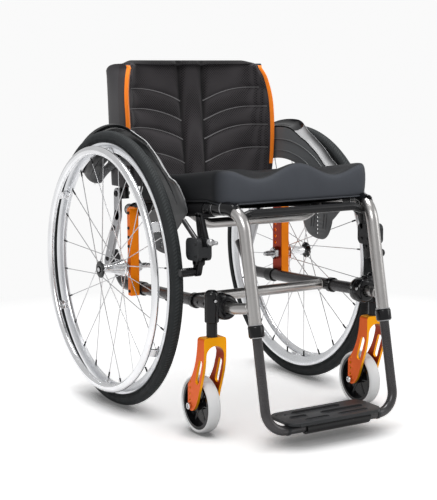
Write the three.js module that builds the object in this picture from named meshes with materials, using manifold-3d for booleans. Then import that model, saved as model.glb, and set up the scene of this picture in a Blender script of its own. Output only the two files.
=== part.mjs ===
// Rigid-frame active wheelchair, in millimetres, +Z up, the chair facing -Y.
// X = 0 is the plane of symmetry, "left" is the user's left (+X), and the floor is Z = 0.
import * as THREE from 'three';
import { mergeVertices } from 'three/addons/utils/BufferGeometryUtils.js';
import Module from 'manifold-3d';

const wasm = await Module();
wasm.setup();

// Clearances
const seatGap = 0.3;
const runningGap = 0.8;
const bearingGap = 0.9;
const cutOverrun = 4;

// In each table, places under `out` are measured outward from the seat rail's centre line, those under
// `ahead` forward from the front of the rear tyre, and those under `rise` upward from the rear axle

// Rear wheels: a 24 inch wheel with a 25 mm tyre
const wheel = {
  radius: 298, tyreHalfWidth: 13, tyreHeight: 25, segments: 36,
  rimDepth: 20, rimHalfWidth: 11, rimWall: 3,
  handrimInset: 16, handrimTubeRadius: 9.5, handrimOffset: 34.5,
  tabCount: 6, tabHalfWidth: 7, tabThickness: 6,
  spokeCount: 24, spokeRadius: 1.2, spokeCrossAngle: 0.42,
  hubInnerEnd: -30, hubOuterEnd: 20, hubInnerFlange: 20, hubOuterFlange: 18, hubWaist: 11.5,
  hubInnerBody: 16, flangeThickness: 3.5, capRadius: 17, capDepth: 8,
  out: { halfTrack: 70 },
};

// Quick-release axle and its receiver in the axle plate
const axle = {
  radius: 6.3, buttonRadius: 5, buttonLength: 6, buttonTravel: 3, buttonSocketDepth: 8,
  receiverRadius: 11, nutRadius: 15, nutLength: 9, flangeLength: 3,
  out: { innerEnd: -21 },
};

// Main frame tubes
const tube = { radius: 12.5, sides: 10, wall: 1.6 };
const seat = {
  railHalfSpan: 172, rearY: 50, bendRadius: 52, jogRadius: 70,
  ahead: { jogY: 27, cornerY: 92 },
  rise: { rearZ: 120, cornerZ: 161 },
};
const leg = {
  boreDepth: 122,
  out: { halfSpan: -17 },
  ahead: { endY: 145 },
  rise: { endZ: -96 },
};
const lowerRail = {
  rearTopY: 138, rearFootY: 88, middleY: -112, bendRadius: 46,
  ahead: { frontY: 54 },
  rise: { rearTopZ: 14, rearFootZ: -53, middleZ: -46, frontZ: -36 },
};
const stub = {
  radius: 11,
  ahead: { bendY: 90, endY: 129 },
  rise: { endZ: -29 },
};
const collar = { y: -238, length: 14, radius: 16 };
const lowerCross = { y: -212, radius: 11 };
const upperCross = { y: -205, drop: 33, radius: 10.5, reach: 46 };
const seatBar = {
  drop: 13, radius: 8.5, endDrop: 13, sides: 10,
  out: { halfSpan: -34 },
  ahead: { y: 74 },
};

// Axle plate between the seat rail and the lower rail
const plate = {
  frontY: -20, stepY: -5, backY: 16, webThickness: 6,
  holeCount: 7, holeRadius: 5, holePitch: 15, holeY: 5.3, clampRadius: 15.3, clampLength: 26,
  hubGap: 4,
  out: { inner: 15 },
  rise: { footZ: -63, headZ: 130, firstHoleZ: 24 },
};

// Rear bracket from the lower rail's tail over the seat rail's end to the back hinge
const bracket = {
  thickness: 8, width: 26, footY: 130, kneeY: 76, hingeY: 76, eyeRadius: 13, pinRadius: 4.5,
  boltY: 92, boltRadius: 6.5, boltHeight: 5,
  out: { inner: 12.8 },
  rise: { footZ: -6, kneeZ: 106, hingeZ: 154, boltZ: 75 },
};

// Casters
const caster = {
  trail: 45, radius: 59, tyreHalfWidth: 14, tyreHeight: 14, tyreSteps: 6, tyreWallShare: 0.3,
  coreHalfWidth: 11, segments: 20, spokes: 6, spokeHalfWidth: 4.5, spokeDepth: 7,
  hubRadius: 12, hubSideGap: 2, rimWall: 6, axleRadius: 4.6, headRadius: 7, headLength: 5,
  out: { halfTrack: 28 },
  ahead: { y: 50 },
};
const fork = {
  halfWidth: 25.5, halfGap: 17.5, halfDepth: 12.5, cornerRadius: 6,
  stemRadius: 7, collarRadius: 11, holeCount: 5, holePitch: 12.5, holeRadius: 3, slotHalfWidth: 4.2,
  rise: { top: -93, archTop: -112, collarTop: -69, stemTop: -14 },
};
const housing = {
  radius: 14.5, dome: 8, ringRadius: 25, ringHalfLength: 20, ringChamfer: 4, segments: 16,
  rise: { bottom: -68, top: 2 },
};

// The fork's side view, as shares of the trail back from the stem and of the drop from the crown to
// the axle: the front edge down to the toe, the toe, the rear edge up to the crown, and the slot
const forkFrontShares = [[-0.06, 0.45], [-0.1, 0.5], [0.3, 0.86]];
const forkToeShares = [[0.58, 1.04], [0.9, 1.12], [1.17, 1]];
const forkRearShares = [[1.16, 0.7], [0.9, 0.6], [0.36, 0.45]];
const forkSlotShares = [[0.06, 0.35], [0.42, 0.66]];

// Footrest
const footrest = { slideGap: 1.1, bottomZ: 34, insertion: 60, cornerRadius: 42, sides: 12 };
const footClamp = { radius: 16, length: 23, segments: 16, boltRadius: 4.5, boltLength: 9 };
const footplate = {
  back: 54, front: -33, thickness: 6, lift: 10.9, corner: 24,
  slotCount: 5, slotHalfWidth: 6, slotEdge: 32, slotBridge: 12, slotY: 24,
  clampInset: 42, clampHalfLength: 15, clampRadius: 15.5,
  out: { halfWidth: -56 },
};

// Seat
const sling = {
  thickness: 3, sleeveWall: 2.4, rearY: 28,
  ahead: { frontY: -10 },
};
const cushion = {
  rearY: 2, edge: 58, rearEdge: 50, well: 15, pommel: 16, round: 10, columns: 14, rows: 9,
  wellRearShare: 0.35, insetShare: 0.35,
  out: { halfWidth: 12 },
  ahead: { frontY: 88 },
};

// Side guards
const guard = {
  thickness: 3, tyreClearance: 2, bandWidth: 78, lipClearance: 10, lipInset: 10, lipThickness: 2.6,
  rearAngle: 40, frontAngle: 154, lipFrontAngle: 146, lobeAngle: 128, endRoundAngle: 11.5, noseAngle: 5.7,
  noseShare: 0.86, lobeY: -150, postHoleRadius: 3.2, postHoles: 4, postPitch: 15, bossRadius: 8, bossSpan: 26,
  out: { inner: 26 },
  rise: { lobeZ: 50 },
};

// The lobe's outline round its foot, as shares of the pitch of its holes
const guardLobeShares = [[-3.4, 3], [-1.4, 0], [2, 0], [4.6, 4]];

// Back: canes, rigidiser bar and the padded shell
const back = {
  caneRadius: 10.5, caneTopY: 92, eyeReach: 12, barRadius: 9, barDip: 40,
  levels: 6, rearY: 106, sleeveDepth: 24, wingDepth: 22, panelThickness: 24, topTaper: 20, panelY: 62,
  spineDepth: 14, midDepth: 10, sideLift: 4, edgeWidth: 10, edgeStep: 2, edgeRound: 4, cheek: 18,
  rearCheek: 16, rearCorner: 8, sleeveWidth: 34, channelWidth: 48, channelDepth: 14, spineRound: 2,
  taperStartShare: 0.62, wingRunShare: 1.08, wingRoundShare: 0.8,
  midShare: 0.45, sideShare: 0.8, rearShare: 0.5,
  out: { outerHalfWidth: 23 },
  rise: { caneTopZ: 440, caneBottomZ: 142, barZ: 342, shellBottom: 164, shellTop: 448 },
};

// Brakes
const brake = {
  bodyHalfDepth: 24, bodyHalfHeight: 21, bodyHalfWidth: 15, bodyTaper: 5, corner: 8,
  leverRadius: 4.6, leverEye: 8, pinRadius: 3.4, slotHalfWidth: 6.4,
  barRadius: 6, barOverhang: 14, shoeEye: 8,
  clampLength: 26, clampRadius: 15.3, armWidth: 12, armThickness: 7,
  knobRadius: 9, knobLength: 14, tipRadius: 5, tipLength: 9,
  out: { x: 40 },
  ahead: { bodyY: 22, leverY: 20, leverEndY: -36, shoeY: 22, barY: 16, railY: 7, knobY: 54 },
  rise: { bodyZ: 78, leverZ: 91, leverEndZ: 128, shoeZ: 52, barZ: 27, knobZ: 90 },
};

// Places that follow from the seat rail, the tyre's front and the axle
[
  wheel, axle, seat, leg, lowerRail, stub, seatBar, plate, bracket, caster, fork, housing, footplate,
  sling, cushion, guard, back, brake,
].forEach((table) => {
  Object.entries(table.out ?? {}).forEach(([place, distance]) => {
    table[place] = seat.railHalfSpan + distance;
  });
  Object.entries(table.ahead ?? {}).forEach(([place, distance]) => {
    table[place] = -wheel.radius - distance;
  });
  Object.entries(table.rise ?? {}).forEach(([place, height]) => {
    table[place] = wheel.radius + height;
  });
});

// Sizes that fit one piece to another
const tyreSeatRadius = wheel.radius - wheel.tyreHeight;
const rimInnerRadius = tyreSeatRadius - wheel.rimDepth;
const handrimRadius = tyreSeatRadius - wheel.handrimInset;
const hubBore = axle.radius + bearingGap;
const casterCoreRadius = caster.radius - caster.tyreHeight;
const casterHubHalfLength = fork.halfGap - caster.hubSideGap;
const footrestTubeRadius = tube.radius - tube.wall - footrest.slideGap;
const plateOuter = wheel.halfTrack + wheel.hubInnerEnd - plate.hubGap;
const slotPitch = 2 * (footplate.halfWidth - footplate.slotEdge) / (footplate.slotCount - 1);
const slotHalfLength = (slotPitch - footplate.slotBridge) / 2;
const footplateClampX = footplate.halfWidth - footplate.clampInset;
const brakeBarReach = wheel.halfTrack + brake.barOverhang - brake.x;
const guardOuterRadius = wheel.radius + guard.tyreClearance;
const guardInnerRadius = guardOuterRadius - guard.bandWidth;
const guardLipRadius = wheel.radius + guard.lipClearance;
const guardLipReach = wheel.halfTrack - guard.lipInset - guard.inner;

// Whole part: the box centre in Y goes to the origin
const rearmostY = wheel.radius;
const legSlope = (seat.cornerY - leg.endY) / (seat.cornerZ - leg.endZ);
const footrestY = leg.endY - (leg.endZ - footrest.bottomZ) * legSlope;
const frontmostY = footrestY + footplate.front;
const originShift = -(rearmostY + frontmostY) / 2;

const colours = {
  frame: ['#a9a8ab', 0.35, 0.85], graphite: ['#3b3b3e', 0.45, 0.6], orange: ['#f08a12', 0.35, 0.7],
  black: ['#17181a', 0.5, 0.1], plastic: ['#3f4145', 0.55, 0.05], rubber: ['#2a2c2e', 0.85, 0],
  casterTyre: ['#d9dadc', 0.6, 0], rim: ['#d5d6d9', 0.3, 0.9], steel: ['#c8c9cc', 0.25, 0.95],
  fabric: ['#3a383c', 0.95, 0], cushion: ['#45474c', 0.95, 0],
};
const part = new THREE.Group();

function material(name) {
  const [color, roughness, metalness] = colours[name];
  return new THREE.MeshStandardMaterial({ color, roughness, metalness, name });
}

// Booleans
function toSolid(geometry) {
  const bare = geometry.clone();
  bare.deleteAttribute('normal');
  bare.deleteAttribute('uv');
  const merged = mergeVertices(bare, 1e-4);
  return new wasm.Manifold(new wasm.Mesh({
    numProp: 3,
    vertProperties: Float32Array.from(merged.attributes.position.array),
    triVerts: Uint32Array.from(merged.index.array),
  }));
}

function toGeometry(solid) {
  const mesh = solid.getMesh();
  const geometry = new THREE.BufferGeometry();
  geometry.setAttribute('position', new THREE.BufferAttribute(Float32Array.from(mesh.vertProperties), 3));
  geometry.setIndex(new THREE.BufferAttribute(Uint32Array.from(mesh.triVerts), 1));
  geometry.computeVertexNormals();
  return geometry;
}

function union(...geometries) {
  return toGeometry(geometries.map(toSolid).reduce((a, b) => a.add(b)));
}

function cut(geometry, ...tools) {
  return toGeometry(tools.map(toSolid).reduce((a, b) => a.subtract(b), toSolid(geometry)));
}

function common(a, b) {
  return toGeometry(toSolid(a).intersect(toSolid(b)));
}

// A path of straight runs and round bends, with a station at each end of a run and along each bend
class BentPath extends THREE.Curve {
  constructor(corners, radii, bendSteps = 5) {
    super();
    this.stations = [];
    corners.forEach((corner, i) => {
      if (i === 0 || i === corners.length - 1) {
        const next = i === 0 ? corners[1] : corner;
        const previous = i === 0 ? corner : corners[i - 1];
        this.stations.push([corner, next.clone().sub(previous).normalize()]);
        return;
      }
      const into = corner.clone().sub(corners[i - 1]).normalize();
      const out = corners[i + 1].clone().sub(corner).normalize();
      const turn = into.angleTo(out);
      const start = corner.clone().addScaledVector(into, -radii[i - 1] * Math.tan(turn / 2));
      const normal = out.clone().addScaledVector(into, -out.dot(into)).normalize();
      const centre = start.clone().addScaledVector(normal, radii[i - 1]);
      for (let k = 0; k <= bendSteps; k += 1) {
        const angle = turn * k / bendSteps;
        const point = centre.clone()
          .addScaledVector(normal, -radii[i - 1] * Math.cos(angle))
          .addScaledVector(into, radii[i - 1] * Math.sin(angle));
        const tangent = into.clone().multiplyScalar(Math.cos(angle)).addScaledVector(normal, Math.sin(angle));
        this.stations.push([point, tangent]);
      }
    });
  }

  get steps() { return this.stations.length - 1; }

  getPoint(share) { return this.stations[Math.round(share * this.steps)][0].clone(); }

  getPointAt(share) { return this.getPoint(share); }

  getTangentAt(share) { return this.stations[Math.round(share * this.steps)][1].clone(); }
}

function circle(radius, sides, target = new THREE.Shape()) {
  for (let k = 0; k < sides; k += 1) {
    const angle = (k + 0.5) * 2 * Math.PI / sides;
    const point = [radius * Math.cos(angle), radius * Math.sin(angle)];
    if (k === 0) target.moveTo(...point);
    else target.lineTo(...point);
  }
  target.closePath();
  return target;
}

// An oval hole drawn the other way round from its outline
function ovalHole(x, y, halfLength, halfWidth, sides) {
  const hole = new THREE.Path();
  for (let k = 0; k < sides; k += 1) {
    const angle = -2 * Math.PI * k / sides;
    const point = [x + halfLength * Math.cos(angle), y + halfWidth * Math.sin(angle)];
    if (k === 0) hole.moveTo(...point);
    else hole.lineTo(...point);
  }
  return hole;
}

function bentTube(corners, radii, radius, { sides = tube.sides, bendSteps = 4 } = {}) {
  const path = new BentPath(corners, radii, bendSteps);
  return new THREE.ExtrudeGeometry(circle(radius, sides), { extrudePath: path, steps: path.steps });
}

// A round bar between two points
function rod(from, to, radius, sides = tube.sides) {
  return bentTube([from, to], [], radius, { sides });
}

const at = (x, y, z) => new THREE.Vector3(x, y, z);

// A prism whose outline is drawn in Y and Z and that runs along X from one plane to another
function sidePrism(shape, fromX, toX, curveSegments = 5) {
  const geometry = new THREE.ExtrudeGeometry(shape, { depth: toX - fromX, bevelEnabled: false, curveSegments });
  const toSide = new THREE.Matrix4().makeBasis(at(0, 1, 0), at(0, 0, 1), at(1, 0, 0));
  geometry.applyMatrix4(toSide);
  return geometry.translate(fromX, 0, 0);
}

// A prism whose outline is drawn in X and Z and that runs along Y
function frontPrism(shape, fromY, toY, curveSegments = 8) {
  const geometry = new THREE.ExtrudeGeometry(shape, { depth: toY - fromY, bevelEnabled: false, curveSegments });
  geometry.rotateX(Math.PI / 2);
  return geometry.translate(0, toY, 0);
}

// A solid of revolution about an axis along X, from a profile of [radius, x] pairs
function turned(profile, segments, x = 0, y = 0, z = 0) {
  const points = profile.map(([radius, along]) => new THREE.Vector2(radius, along));
  const geometry = new THREE.LatheGeometry(points, segments);
  geometry.rotateZ(-Math.PI / 2);
  return geometry.translate(x, y, z);
}

// A solid of revolution about a vertical axis, from a profile of [radius, z] pairs
function turnedUpright(profile, segments, x, y) {
  const points = profile.map(([radius, along]) => new THREE.Vector2(radius, along));
  const geometry = new THREE.LatheGeometry(points, segments);
  geometry.rotateX(Math.PI / 2);
  return geometry.translate(x, y, 0);
}

function roundedBox(halfWidth, halfHeight, corner, y = 0, z = 0) {
  const shape = new THREE.Shape();
  const right = y + halfWidth;
  const left = y - halfWidth;
  const upper = z + halfHeight;
  const lower = z - halfHeight;
  shape.moveTo(left + corner, lower);
  shape.lineTo(right - corner, lower);
  shape.quadraticCurveTo(right, lower, right, lower + corner);
  shape.lineTo(right, upper - corner);
  shape.quadraticCurveTo(right, upper, right - corner, upper);
  shape.lineTo(left + corner, upper);
  shape.quadraticCurveTo(left, upper, left, upper - corner);
  shape.lineTo(left, lower + corner);
  shape.quadraticCurveTo(left, lower, left + corner, lower);
  return shape;
}

// A flat bar with round ends between two points in the Y-Z plane
function capsule(y1, z1, y2, z2, radius) {
  const heading = Math.atan2(z2 - z1, y2 - y1);
  const shape = new THREE.Shape();
  shape.absarc(y2, z2, radius, heading - Math.PI / 2, heading + Math.PI / 2, false);
  shape.absarc(y1, z1, radius, heading + Math.PI / 2, heading + Math.PI * 1.5, false);
  shape.closePath();
  return shape;
}

// The right-hand copy of a left-hand piece
function mirrored(geometry) {
  const copy = geometry.clone().applyMatrix4(new THREE.Matrix4().makeScale(-1, 1, 1));
  const index = copy.index ? Array.from(copy.index.array) : [...copy.attributes.position.array.keys()]
    .slice(0, copy.attributes.position.count);
  for (let i = 0; i < index.length; i += 3) [index[i], index[i + 1]] = [index[i + 1], index[i]];
  copy.setIndex(index);
  return copy;
}

function add(name, geometry, look) {
  const mesh = new THREE.Mesh(geometry, material(look));
  mesh.name = name;
  part.add(mesh);
}

function addPair(name, geometry, look) {
  add(`${name}_left`, geometry, look);
  add(`${name}_right`, mirrored(geometry), look);
}

// Main frame: seat rail, bend and leg in one tube, with the stub of the lower rail welded to the leg
const railSlope = (seat.cornerZ - seat.rearZ) / (seat.cornerY - seat.rearY);
const railZ = (y) => seat.rearZ + (y - seat.rearY) * railSlope;
const lowerSlope = (lowerRail.frontZ - lowerRail.middleZ) / (lowerRail.frontY - lowerRail.middleY);
const lowerZ = (y) => lowerRail.middleZ + (y - lowerRail.middleY) * lowerSlope;
const legDirection = at(0, seat.cornerY - leg.endY, seat.cornerZ - leg.endZ).normalize();
const legEnd = at(leg.halfSpan, leg.endY, leg.endZ);
const alongLeg = (distance) => legEnd.clone().addScaledVector(legDirection, distance);

function framePath(radius) {
  const corners = [
    at(seat.railHalfSpan, seat.rearY, seat.rearZ), at(seat.railHalfSpan, seat.jogY, railZ(seat.jogY)),
    at(leg.halfSpan, seat.cornerY, seat.cornerZ), legEnd,
  ];
  return bentTube(corners, [seat.jogRadius, seat.bendRadius], radius);
}

function lowerRailTube(radius) {
  const corners = [
    at(seat.railHalfSpan, lowerRail.rearTopY, lowerRail.rearTopZ),
    at(seat.railHalfSpan, lowerRail.rearFootY, lowerRail.rearFootZ),
    at(seat.railHalfSpan, lowerRail.middleY, lowerRail.middleZ),
    at(seat.railHalfSpan, lowerRail.frontY, lowerRail.frontZ),
  ];
  return bentTube(corners, [lowerRail.bendRadius, lowerRail.bendRadius], radius);
}

function sideFrame() {
  const stubStart = lowerRail.frontY - seatGap;
  const stubTube = bentTube([
    at(seat.railHalfSpan, stubStart, lowerZ(stubStart)), at(seat.railHalfSpan, stub.bendY, lowerZ(stub.bendY)),
    at(leg.halfSpan, stub.endY, stub.endZ),
  ], [tube.radius * 2], stub.radius);
  const bore = rod(alongLeg(-cutOverrun), alongLeg(leg.boreDepth), tube.radius - tube.wall);
  return cut(union(framePath(tube.radius), stubTube), bore);
}

function crossTubes() {
  const lowZ = lowerZ(lowerCross.y);
  const lower = rod(at(-seat.railHalfSpan, lowerCross.y, lowZ), at(seat.railHalfSpan, lowerCross.y, lowZ),
    lowerCross.radius);
  const rail = lowerRailTube(tube.radius + seatGap);
  add('lower_cross_tube', cut(lower, rail, mirrored(rail)), 'frame');
  const highZ = railZ(upperCross.y);
  const reach = seat.railHalfSpan - upperCross.reach;
  const upper = bentTube([
    at(-seat.railHalfSpan, upperCross.y, highZ), at(-reach, upperCross.y, highZ - upperCross.drop),
    at(reach, upperCross.y, highZ - upperCross.drop), at(seat.railHalfSpan, upperCross.y, highZ),
  ], [upperCross.reach, upperCross.reach], upperCross.radius);
  const seatTube = framePath(tube.radius + seatGap);
  add('upper_cross_tube', cut(upper, seatTube, mirrored(seatTube)), 'frame');
}

function frontSeatBar() {
  const z = railZ(seatBar.y) - seatBar.drop;
  const end = z - seatBar.endDrop;
  const bar = bentTube([
    at(-leg.halfSpan, seatBar.y, end), at(-seatBar.halfSpan + seatBar.endDrop, seatBar.y, z),
    at(seatBar.halfSpan - seatBar.endDrop, seatBar.y, z), at(leg.halfSpan, seatBar.y, end),
  ], [seatBar.endDrop * 3, seatBar.endDrop * 3], seatBar.radius, { sides: seatBar.sides });
  const frame = framePath(tube.radius + seatGap);
  add('front_seat_bar', cut(bar, frame, mirrored(frame)), 'black');
}

function railCollar() {
  const from = at(seat.railHalfSpan, collar.y + collar.length / 2, lowerZ(collar.y + collar.length / 2));
  const to = at(seat.railHalfSpan, collar.y - collar.length / 2, lowerZ(collar.y - collar.length / 2));
  return cut(rod(from, to, collar.radius, housing.segments), lowerRailTube(tube.radius + seatGap));
}

function axlePlate() {
  const shape = new THREE.Shape();
  shape.moveTo(plate.inner, plate.frontY);
  shape.lineTo(plateOuter, plate.frontY);
  shape.lineTo(plateOuter, plate.stepY);
  shape.lineTo(plate.inner + plate.webThickness, plate.stepY);
  shape.lineTo(plate.inner + plate.webThickness, plate.backY);
  shape.lineTo(plate.inner, plate.backY);
  shape.closePath();
  const body = new THREE.ExtrudeGeometry(shape, { depth: plate.headZ - plate.footZ, bevelEnabled: false });
  body.translate(0, 0, plate.footZ);
  const middleY = (plate.frontY + plate.backY) / 2;
  const clampAt = (heightAt) => rod(
    at(seat.railHalfSpan, middleY + plate.clampLength / 2, heightAt(middleY + plate.clampLength / 2)),
    at(seat.railHalfSpan, middleY - plate.clampLength / 2, heightAt(middleY - plate.clampLength / 2)),
    plate.clampRadius, housing.segments);
  const holes = [];
  for (let k = 0; k < plate.holeCount; k += 1) {
    const z = plate.firstHoleZ + k * plate.holePitch;
    holes.push(rod(at(plate.inner - cutOverrun, plate.holeY, z), at(plateOuter + cutOverrun, plate.holeY, z),
      plate.holeRadius, 6));
  }
  const axleHole = rod(at(plate.inner - cutOverrun, 0, wheel.radius),
    at(plateOuter + cutOverrun, 0, wheel.radius), axle.receiverRadius + seatGap, 16);
  const rails = [lowerRailTube(tube.radius + seatGap), framePath(tube.radius + seatGap)];
  return cut(union(body, clampAt(railZ), clampAt(lowerZ)), ...rails, axleHole, ...holes);
}

function axleReceiver() {
  const profile = [
    [axle.radius + seatGap, plate.inner - axle.nutLength - axle.flangeLength],
    [axle.nutRadius, plate.inner - axle.nutLength - axle.flangeLength],
    [axle.nutRadius, plate.inner - seatGap], [axle.receiverRadius, plate.inner - seatGap],
    [axle.receiverRadius, plateOuter], [axle.radius + seatGap, plateOuter],
    [axle.radius + seatGap, plate.inner - axle.nutLength - axle.flangeLength],
  ];
  return turned(profile, 12, 0, 0, wheel.radius);
}

function quickAxle() {
  const outerEnd = wheel.halfTrack + wheel.hubOuterEnd + wheel.capDepth;
  const profile = [
    [0, axle.innerEnd], [axle.radius - 2 * runningGap, axle.innerEnd],
    [axle.radius, axle.innerEnd + axle.nutLength], [axle.radius, outerEnd],
    [axle.buttonRadius + runningGap, outerEnd],
    [axle.buttonRadius + runningGap, outerEnd - axle.buttonSocketDepth], [0, outerEnd - axle.buttonSocketDepth],
  ];
  return turned(profile, 16, 0, 0, wheel.radius);
}

function axleButton() {
  const outerEnd = wheel.halfTrack + wheel.hubOuterEnd + wheel.capDepth;
  const innerEnd = outerEnd - axle.buttonSocketDepth + axle.buttonTravel + seatGap;
  const shoulder = innerEnd + axle.buttonLength + axle.buttonTravel;
  const profile = [
    [0, innerEnd], [axle.buttonRadius, innerEnd], [axle.buttonRadius, shoulder],
    [axle.buttonRadius - runningGap, shoulder + runningGap], [0, shoulder + runningGap],
  ];
  return turned(profile, 16, 0, 0, wheel.radius);
}

function rearBracket() {
  const from = bracket.inner;
  const to = bracket.inner + bracket.thickness;
  const half = bracket.width / 2;
  const lower = sidePrism(capsule(bracket.footY, bracket.footZ, bracket.kneeY, bracket.kneeZ, half), from, to);
  const upper = sidePrism(capsule(bracket.kneeY, bracket.kneeZ, bracket.hingeY, bracket.hingeZ, half), from, to);
  const pin = rod(at(from - back.eyeReach - tube.radius, bracket.hingeY, bracket.hingeZ),
    at(to, bracket.hingeY, bracket.hingeZ), bracket.pinRadius, 16);
  const bolt = rod(at(to - seatGap / 2, bracket.boltY, bracket.boltZ),
    at(to + bracket.boltHeight, bracket.boltY, bracket.boltZ), bracket.boltRadius, 12);
  return union(lower, upper, pin, bolt);
}

// Casters
function forkBody(x) {
  const { y } = caster;
  const axleY = y + caster.trail;
  const drop = fork.top - caster.radius;
  const place = ([trailShare, dropShare]) => [y + caster.trail * trailShare, fork.top - drop * dropShare];
  const side = new THREE.Shape();
  const frontPlaces = forkFrontShares.map(place);
  side.moveTo(y - fork.halfDepth, fork.top);
  side.bezierCurveTo(frontPlaces[0][0] - fork.halfDepth, frontPlaces[0][1], ...frontPlaces[1], ...frontPlaces[2]);
  const [toeStart, toeCorner, toeEnd] = forkToeShares.map(place);
  side.lineTo(...toeStart);
  side.quadraticCurveTo(...toeCorner, ...toeEnd);
  const [heel, heelCurve, crownCurve] = forkRearShares.map(place);
  side.lineTo(...heel);
  side.bezierCurveTo(...heelCurve, ...crownCurve, y + fork.halfDepth, fork.top);
  side.closePath();
  const [slotTop, slotBottom] = forkSlotShares.map(place);
  side.holes.push(capsule(...slotTop, ...slotBottom, fork.slotHalfWidth));
  const blades = sidePrism(side, x - fork.halfWidth, x + fork.halfWidth, 4);
  const front = new THREE.Shape();
  front.moveTo(x - fork.halfWidth, 0);
  front.lineTo(x - fork.halfWidth, fork.top - fork.cornerRadius);
  front.quadraticCurveTo(x - fork.halfWidth, fork.top, x - fork.halfWidth + fork.cornerRadius, fork.top);
  front.lineTo(x + fork.halfWidth - fork.cornerRadius, fork.top);
  front.quadraticCurveTo(x + fork.halfWidth, fork.top, x + fork.halfWidth, fork.top - fork.cornerRadius);
  front.lineTo(x + fork.halfWidth, 0);
  front.lineTo(x + fork.halfGap, 0);
  front.absarc(x, fork.archTop - fork.halfGap, fork.halfGap, 0, Math.PI, false);
  front.lineTo(x - fork.halfGap, 0);
  front.closePath();
  const arch = frontPrism(front, y - caster.radius, y + caster.radius + caster.trail);
  const holes = [];
  for (let k = 0; k < fork.holeCount; k += 1) {
    const radius = k === 0 ? caster.axleRadius + seatGap : fork.holeRadius;
    const z = caster.radius + k * fork.holePitch;
    holes.push(rod(at(x - caster.radius, axleY, z), at(x + caster.radius, axleY, z), radius, k === 0 ? 12 : 6));
  }
  return cut(common(blades, arch), ...holes);
}

function casterFork(x) {
  const stem = turnedUpright([
    [0, fork.top - fork.cornerRadius], [fork.collarRadius, fork.top - fork.cornerRadius],
    [fork.collarRadius, fork.collarTop], [fork.stemRadius, fork.collarTop], [fork.stemRadius, fork.stemTop],
    [0, fork.stemTop],
  ], 16, x, caster.y);
  return union(forkBody(x), stem);
}

function casterCore(x) {
  const y = caster.y + caster.trail;
  const outer = casterCoreRadius;
  const ring = turned([
    [outer - caster.rimWall, -caster.coreHalfWidth], [outer, -caster.coreHalfWidth],
    [outer, caster.coreHalfWidth], [outer - caster.rimWall, caster.coreHalfWidth],
    [outer - caster.rimWall, -caster.coreHalfWidth],
  ], caster.segments, x, y, caster.radius);
  const hub = rod(at(x - casterHubHalfLength, y, caster.radius), at(x + casterHubHalfLength, y, caster.radius),
    caster.hubRadius, 16);
  const arms = [];
  for (let k = 0; k < caster.spokes; k += 1) {
    const length = outer - caster.rimWall / 2;
    const arm = new THREE.BoxGeometry(2 * caster.spokeDepth, 2 * caster.spokeHalfWidth, length);
    arm.translate(0, 0, length / 2);
    arm.rotateX(2 * Math.PI * k / caster.spokes);
    arms.push(arm.translate(x, y, caster.radius));
  }
  const bore = rod(at(x - caster.radius, y, caster.radius), at(x + caster.radius, y, caster.radius),
    caster.axleRadius + bearingGap, 16);
  return cut(union(ring, hub, ...arms), bore);
}

function casterTyre(x) {
  const inner = casterCoreRadius + seatGap;
  const half = caster.tyreHalfWidth;
  const depth = caster.radius - inner;
  const profile = [[inner, -caster.coreHalfWidth]];
  for (let k = 0; k <= caster.tyreSteps; k += 1) {
    const angle = Math.PI * k / caster.tyreSteps;
    const rise = caster.tyreWallShare + (1 - caster.tyreWallShare) * Math.sin(angle);
    profile.push([inner + depth * rise, -half * Math.cos(angle)]);
  }
  profile.push([inner, caster.coreHalfWidth], [inner, -caster.coreHalfWidth]);
  return turned(profile, caster.segments, x, caster.y + caster.trail, caster.radius);
}

function casterAxle(x) {
  const headInner = fork.halfWidth + seatGap;
  const headOuter = headInner + caster.headLength;
  const shoulder = headInner + caster.headLength / 2;
  const faceRadius = caster.headRadius - 1.5 * runningGap;
  const profile = [
    [0, -headOuter], [faceRadius, -headOuter], [caster.headRadius, -shoulder], [caster.headRadius, -headInner],
    [caster.axleRadius, -headInner], [caster.axleRadius, headInner], [caster.headRadius, headInner],
    [caster.headRadius, shoulder], [faceRadius, headOuter], [0, headOuter],
  ];
  return turned(profile, 12, x, caster.y + caster.trail, caster.radius);
}

function casterHousing() {
  const x = caster.halfTrack;
  const barrel = turnedUpright([
    [0, housing.bottom], [housing.radius, housing.bottom], [housing.radius, housing.top - housing.dome],
    [housing.radius - housing.dome / 3, housing.top - housing.dome / 3],
    [housing.radius - housing.dome, housing.top], [0, housing.top],
  ], 20, x, caster.y);
  const z = lowerZ(caster.y);
  const ring = turned([
    [0, -housing.ringHalfLength], [housing.ringRadius - housing.ringChamfer, -housing.ringHalfLength],
    [housing.ringRadius, -housing.ringHalfLength + housing.ringChamfer],
    [housing.ringRadius, housing.ringHalfLength - housing.ringChamfer],
    [housing.ringRadius - housing.ringChamfer, housing.ringHalfLength], [0, housing.ringHalfLength],
  ], housing.segments);
  ring.rotateZ(Math.PI / 2).translate(seat.railHalfSpan, caster.y, z);
  const bore = rod(at(x, caster.y, housing.bottom - cutOverrun), at(x, caster.y, fork.stemTop + runningGap),
    fork.stemRadius + bearingGap, 16);
  return cut(union(barrel, ring), bore, lowerRailTube(tube.radius + seatGap), sideFrameEnvelope());
}

// The stub of the lower rail with its seating gap, as the housing is cut by it
function sideFrameEnvelope() {
  const start = lowerRail.frontY + cutOverrun;
  return bentTube([
    at(seat.railHalfSpan, start, lowerZ(start)), at(seat.railHalfSpan, stub.bendY, lowerZ(stub.bendY)),
    at(leg.halfSpan, stub.endY, stub.endZ),
  ], [tube.radius * 2], stub.radius + seatGap);
}

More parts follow.
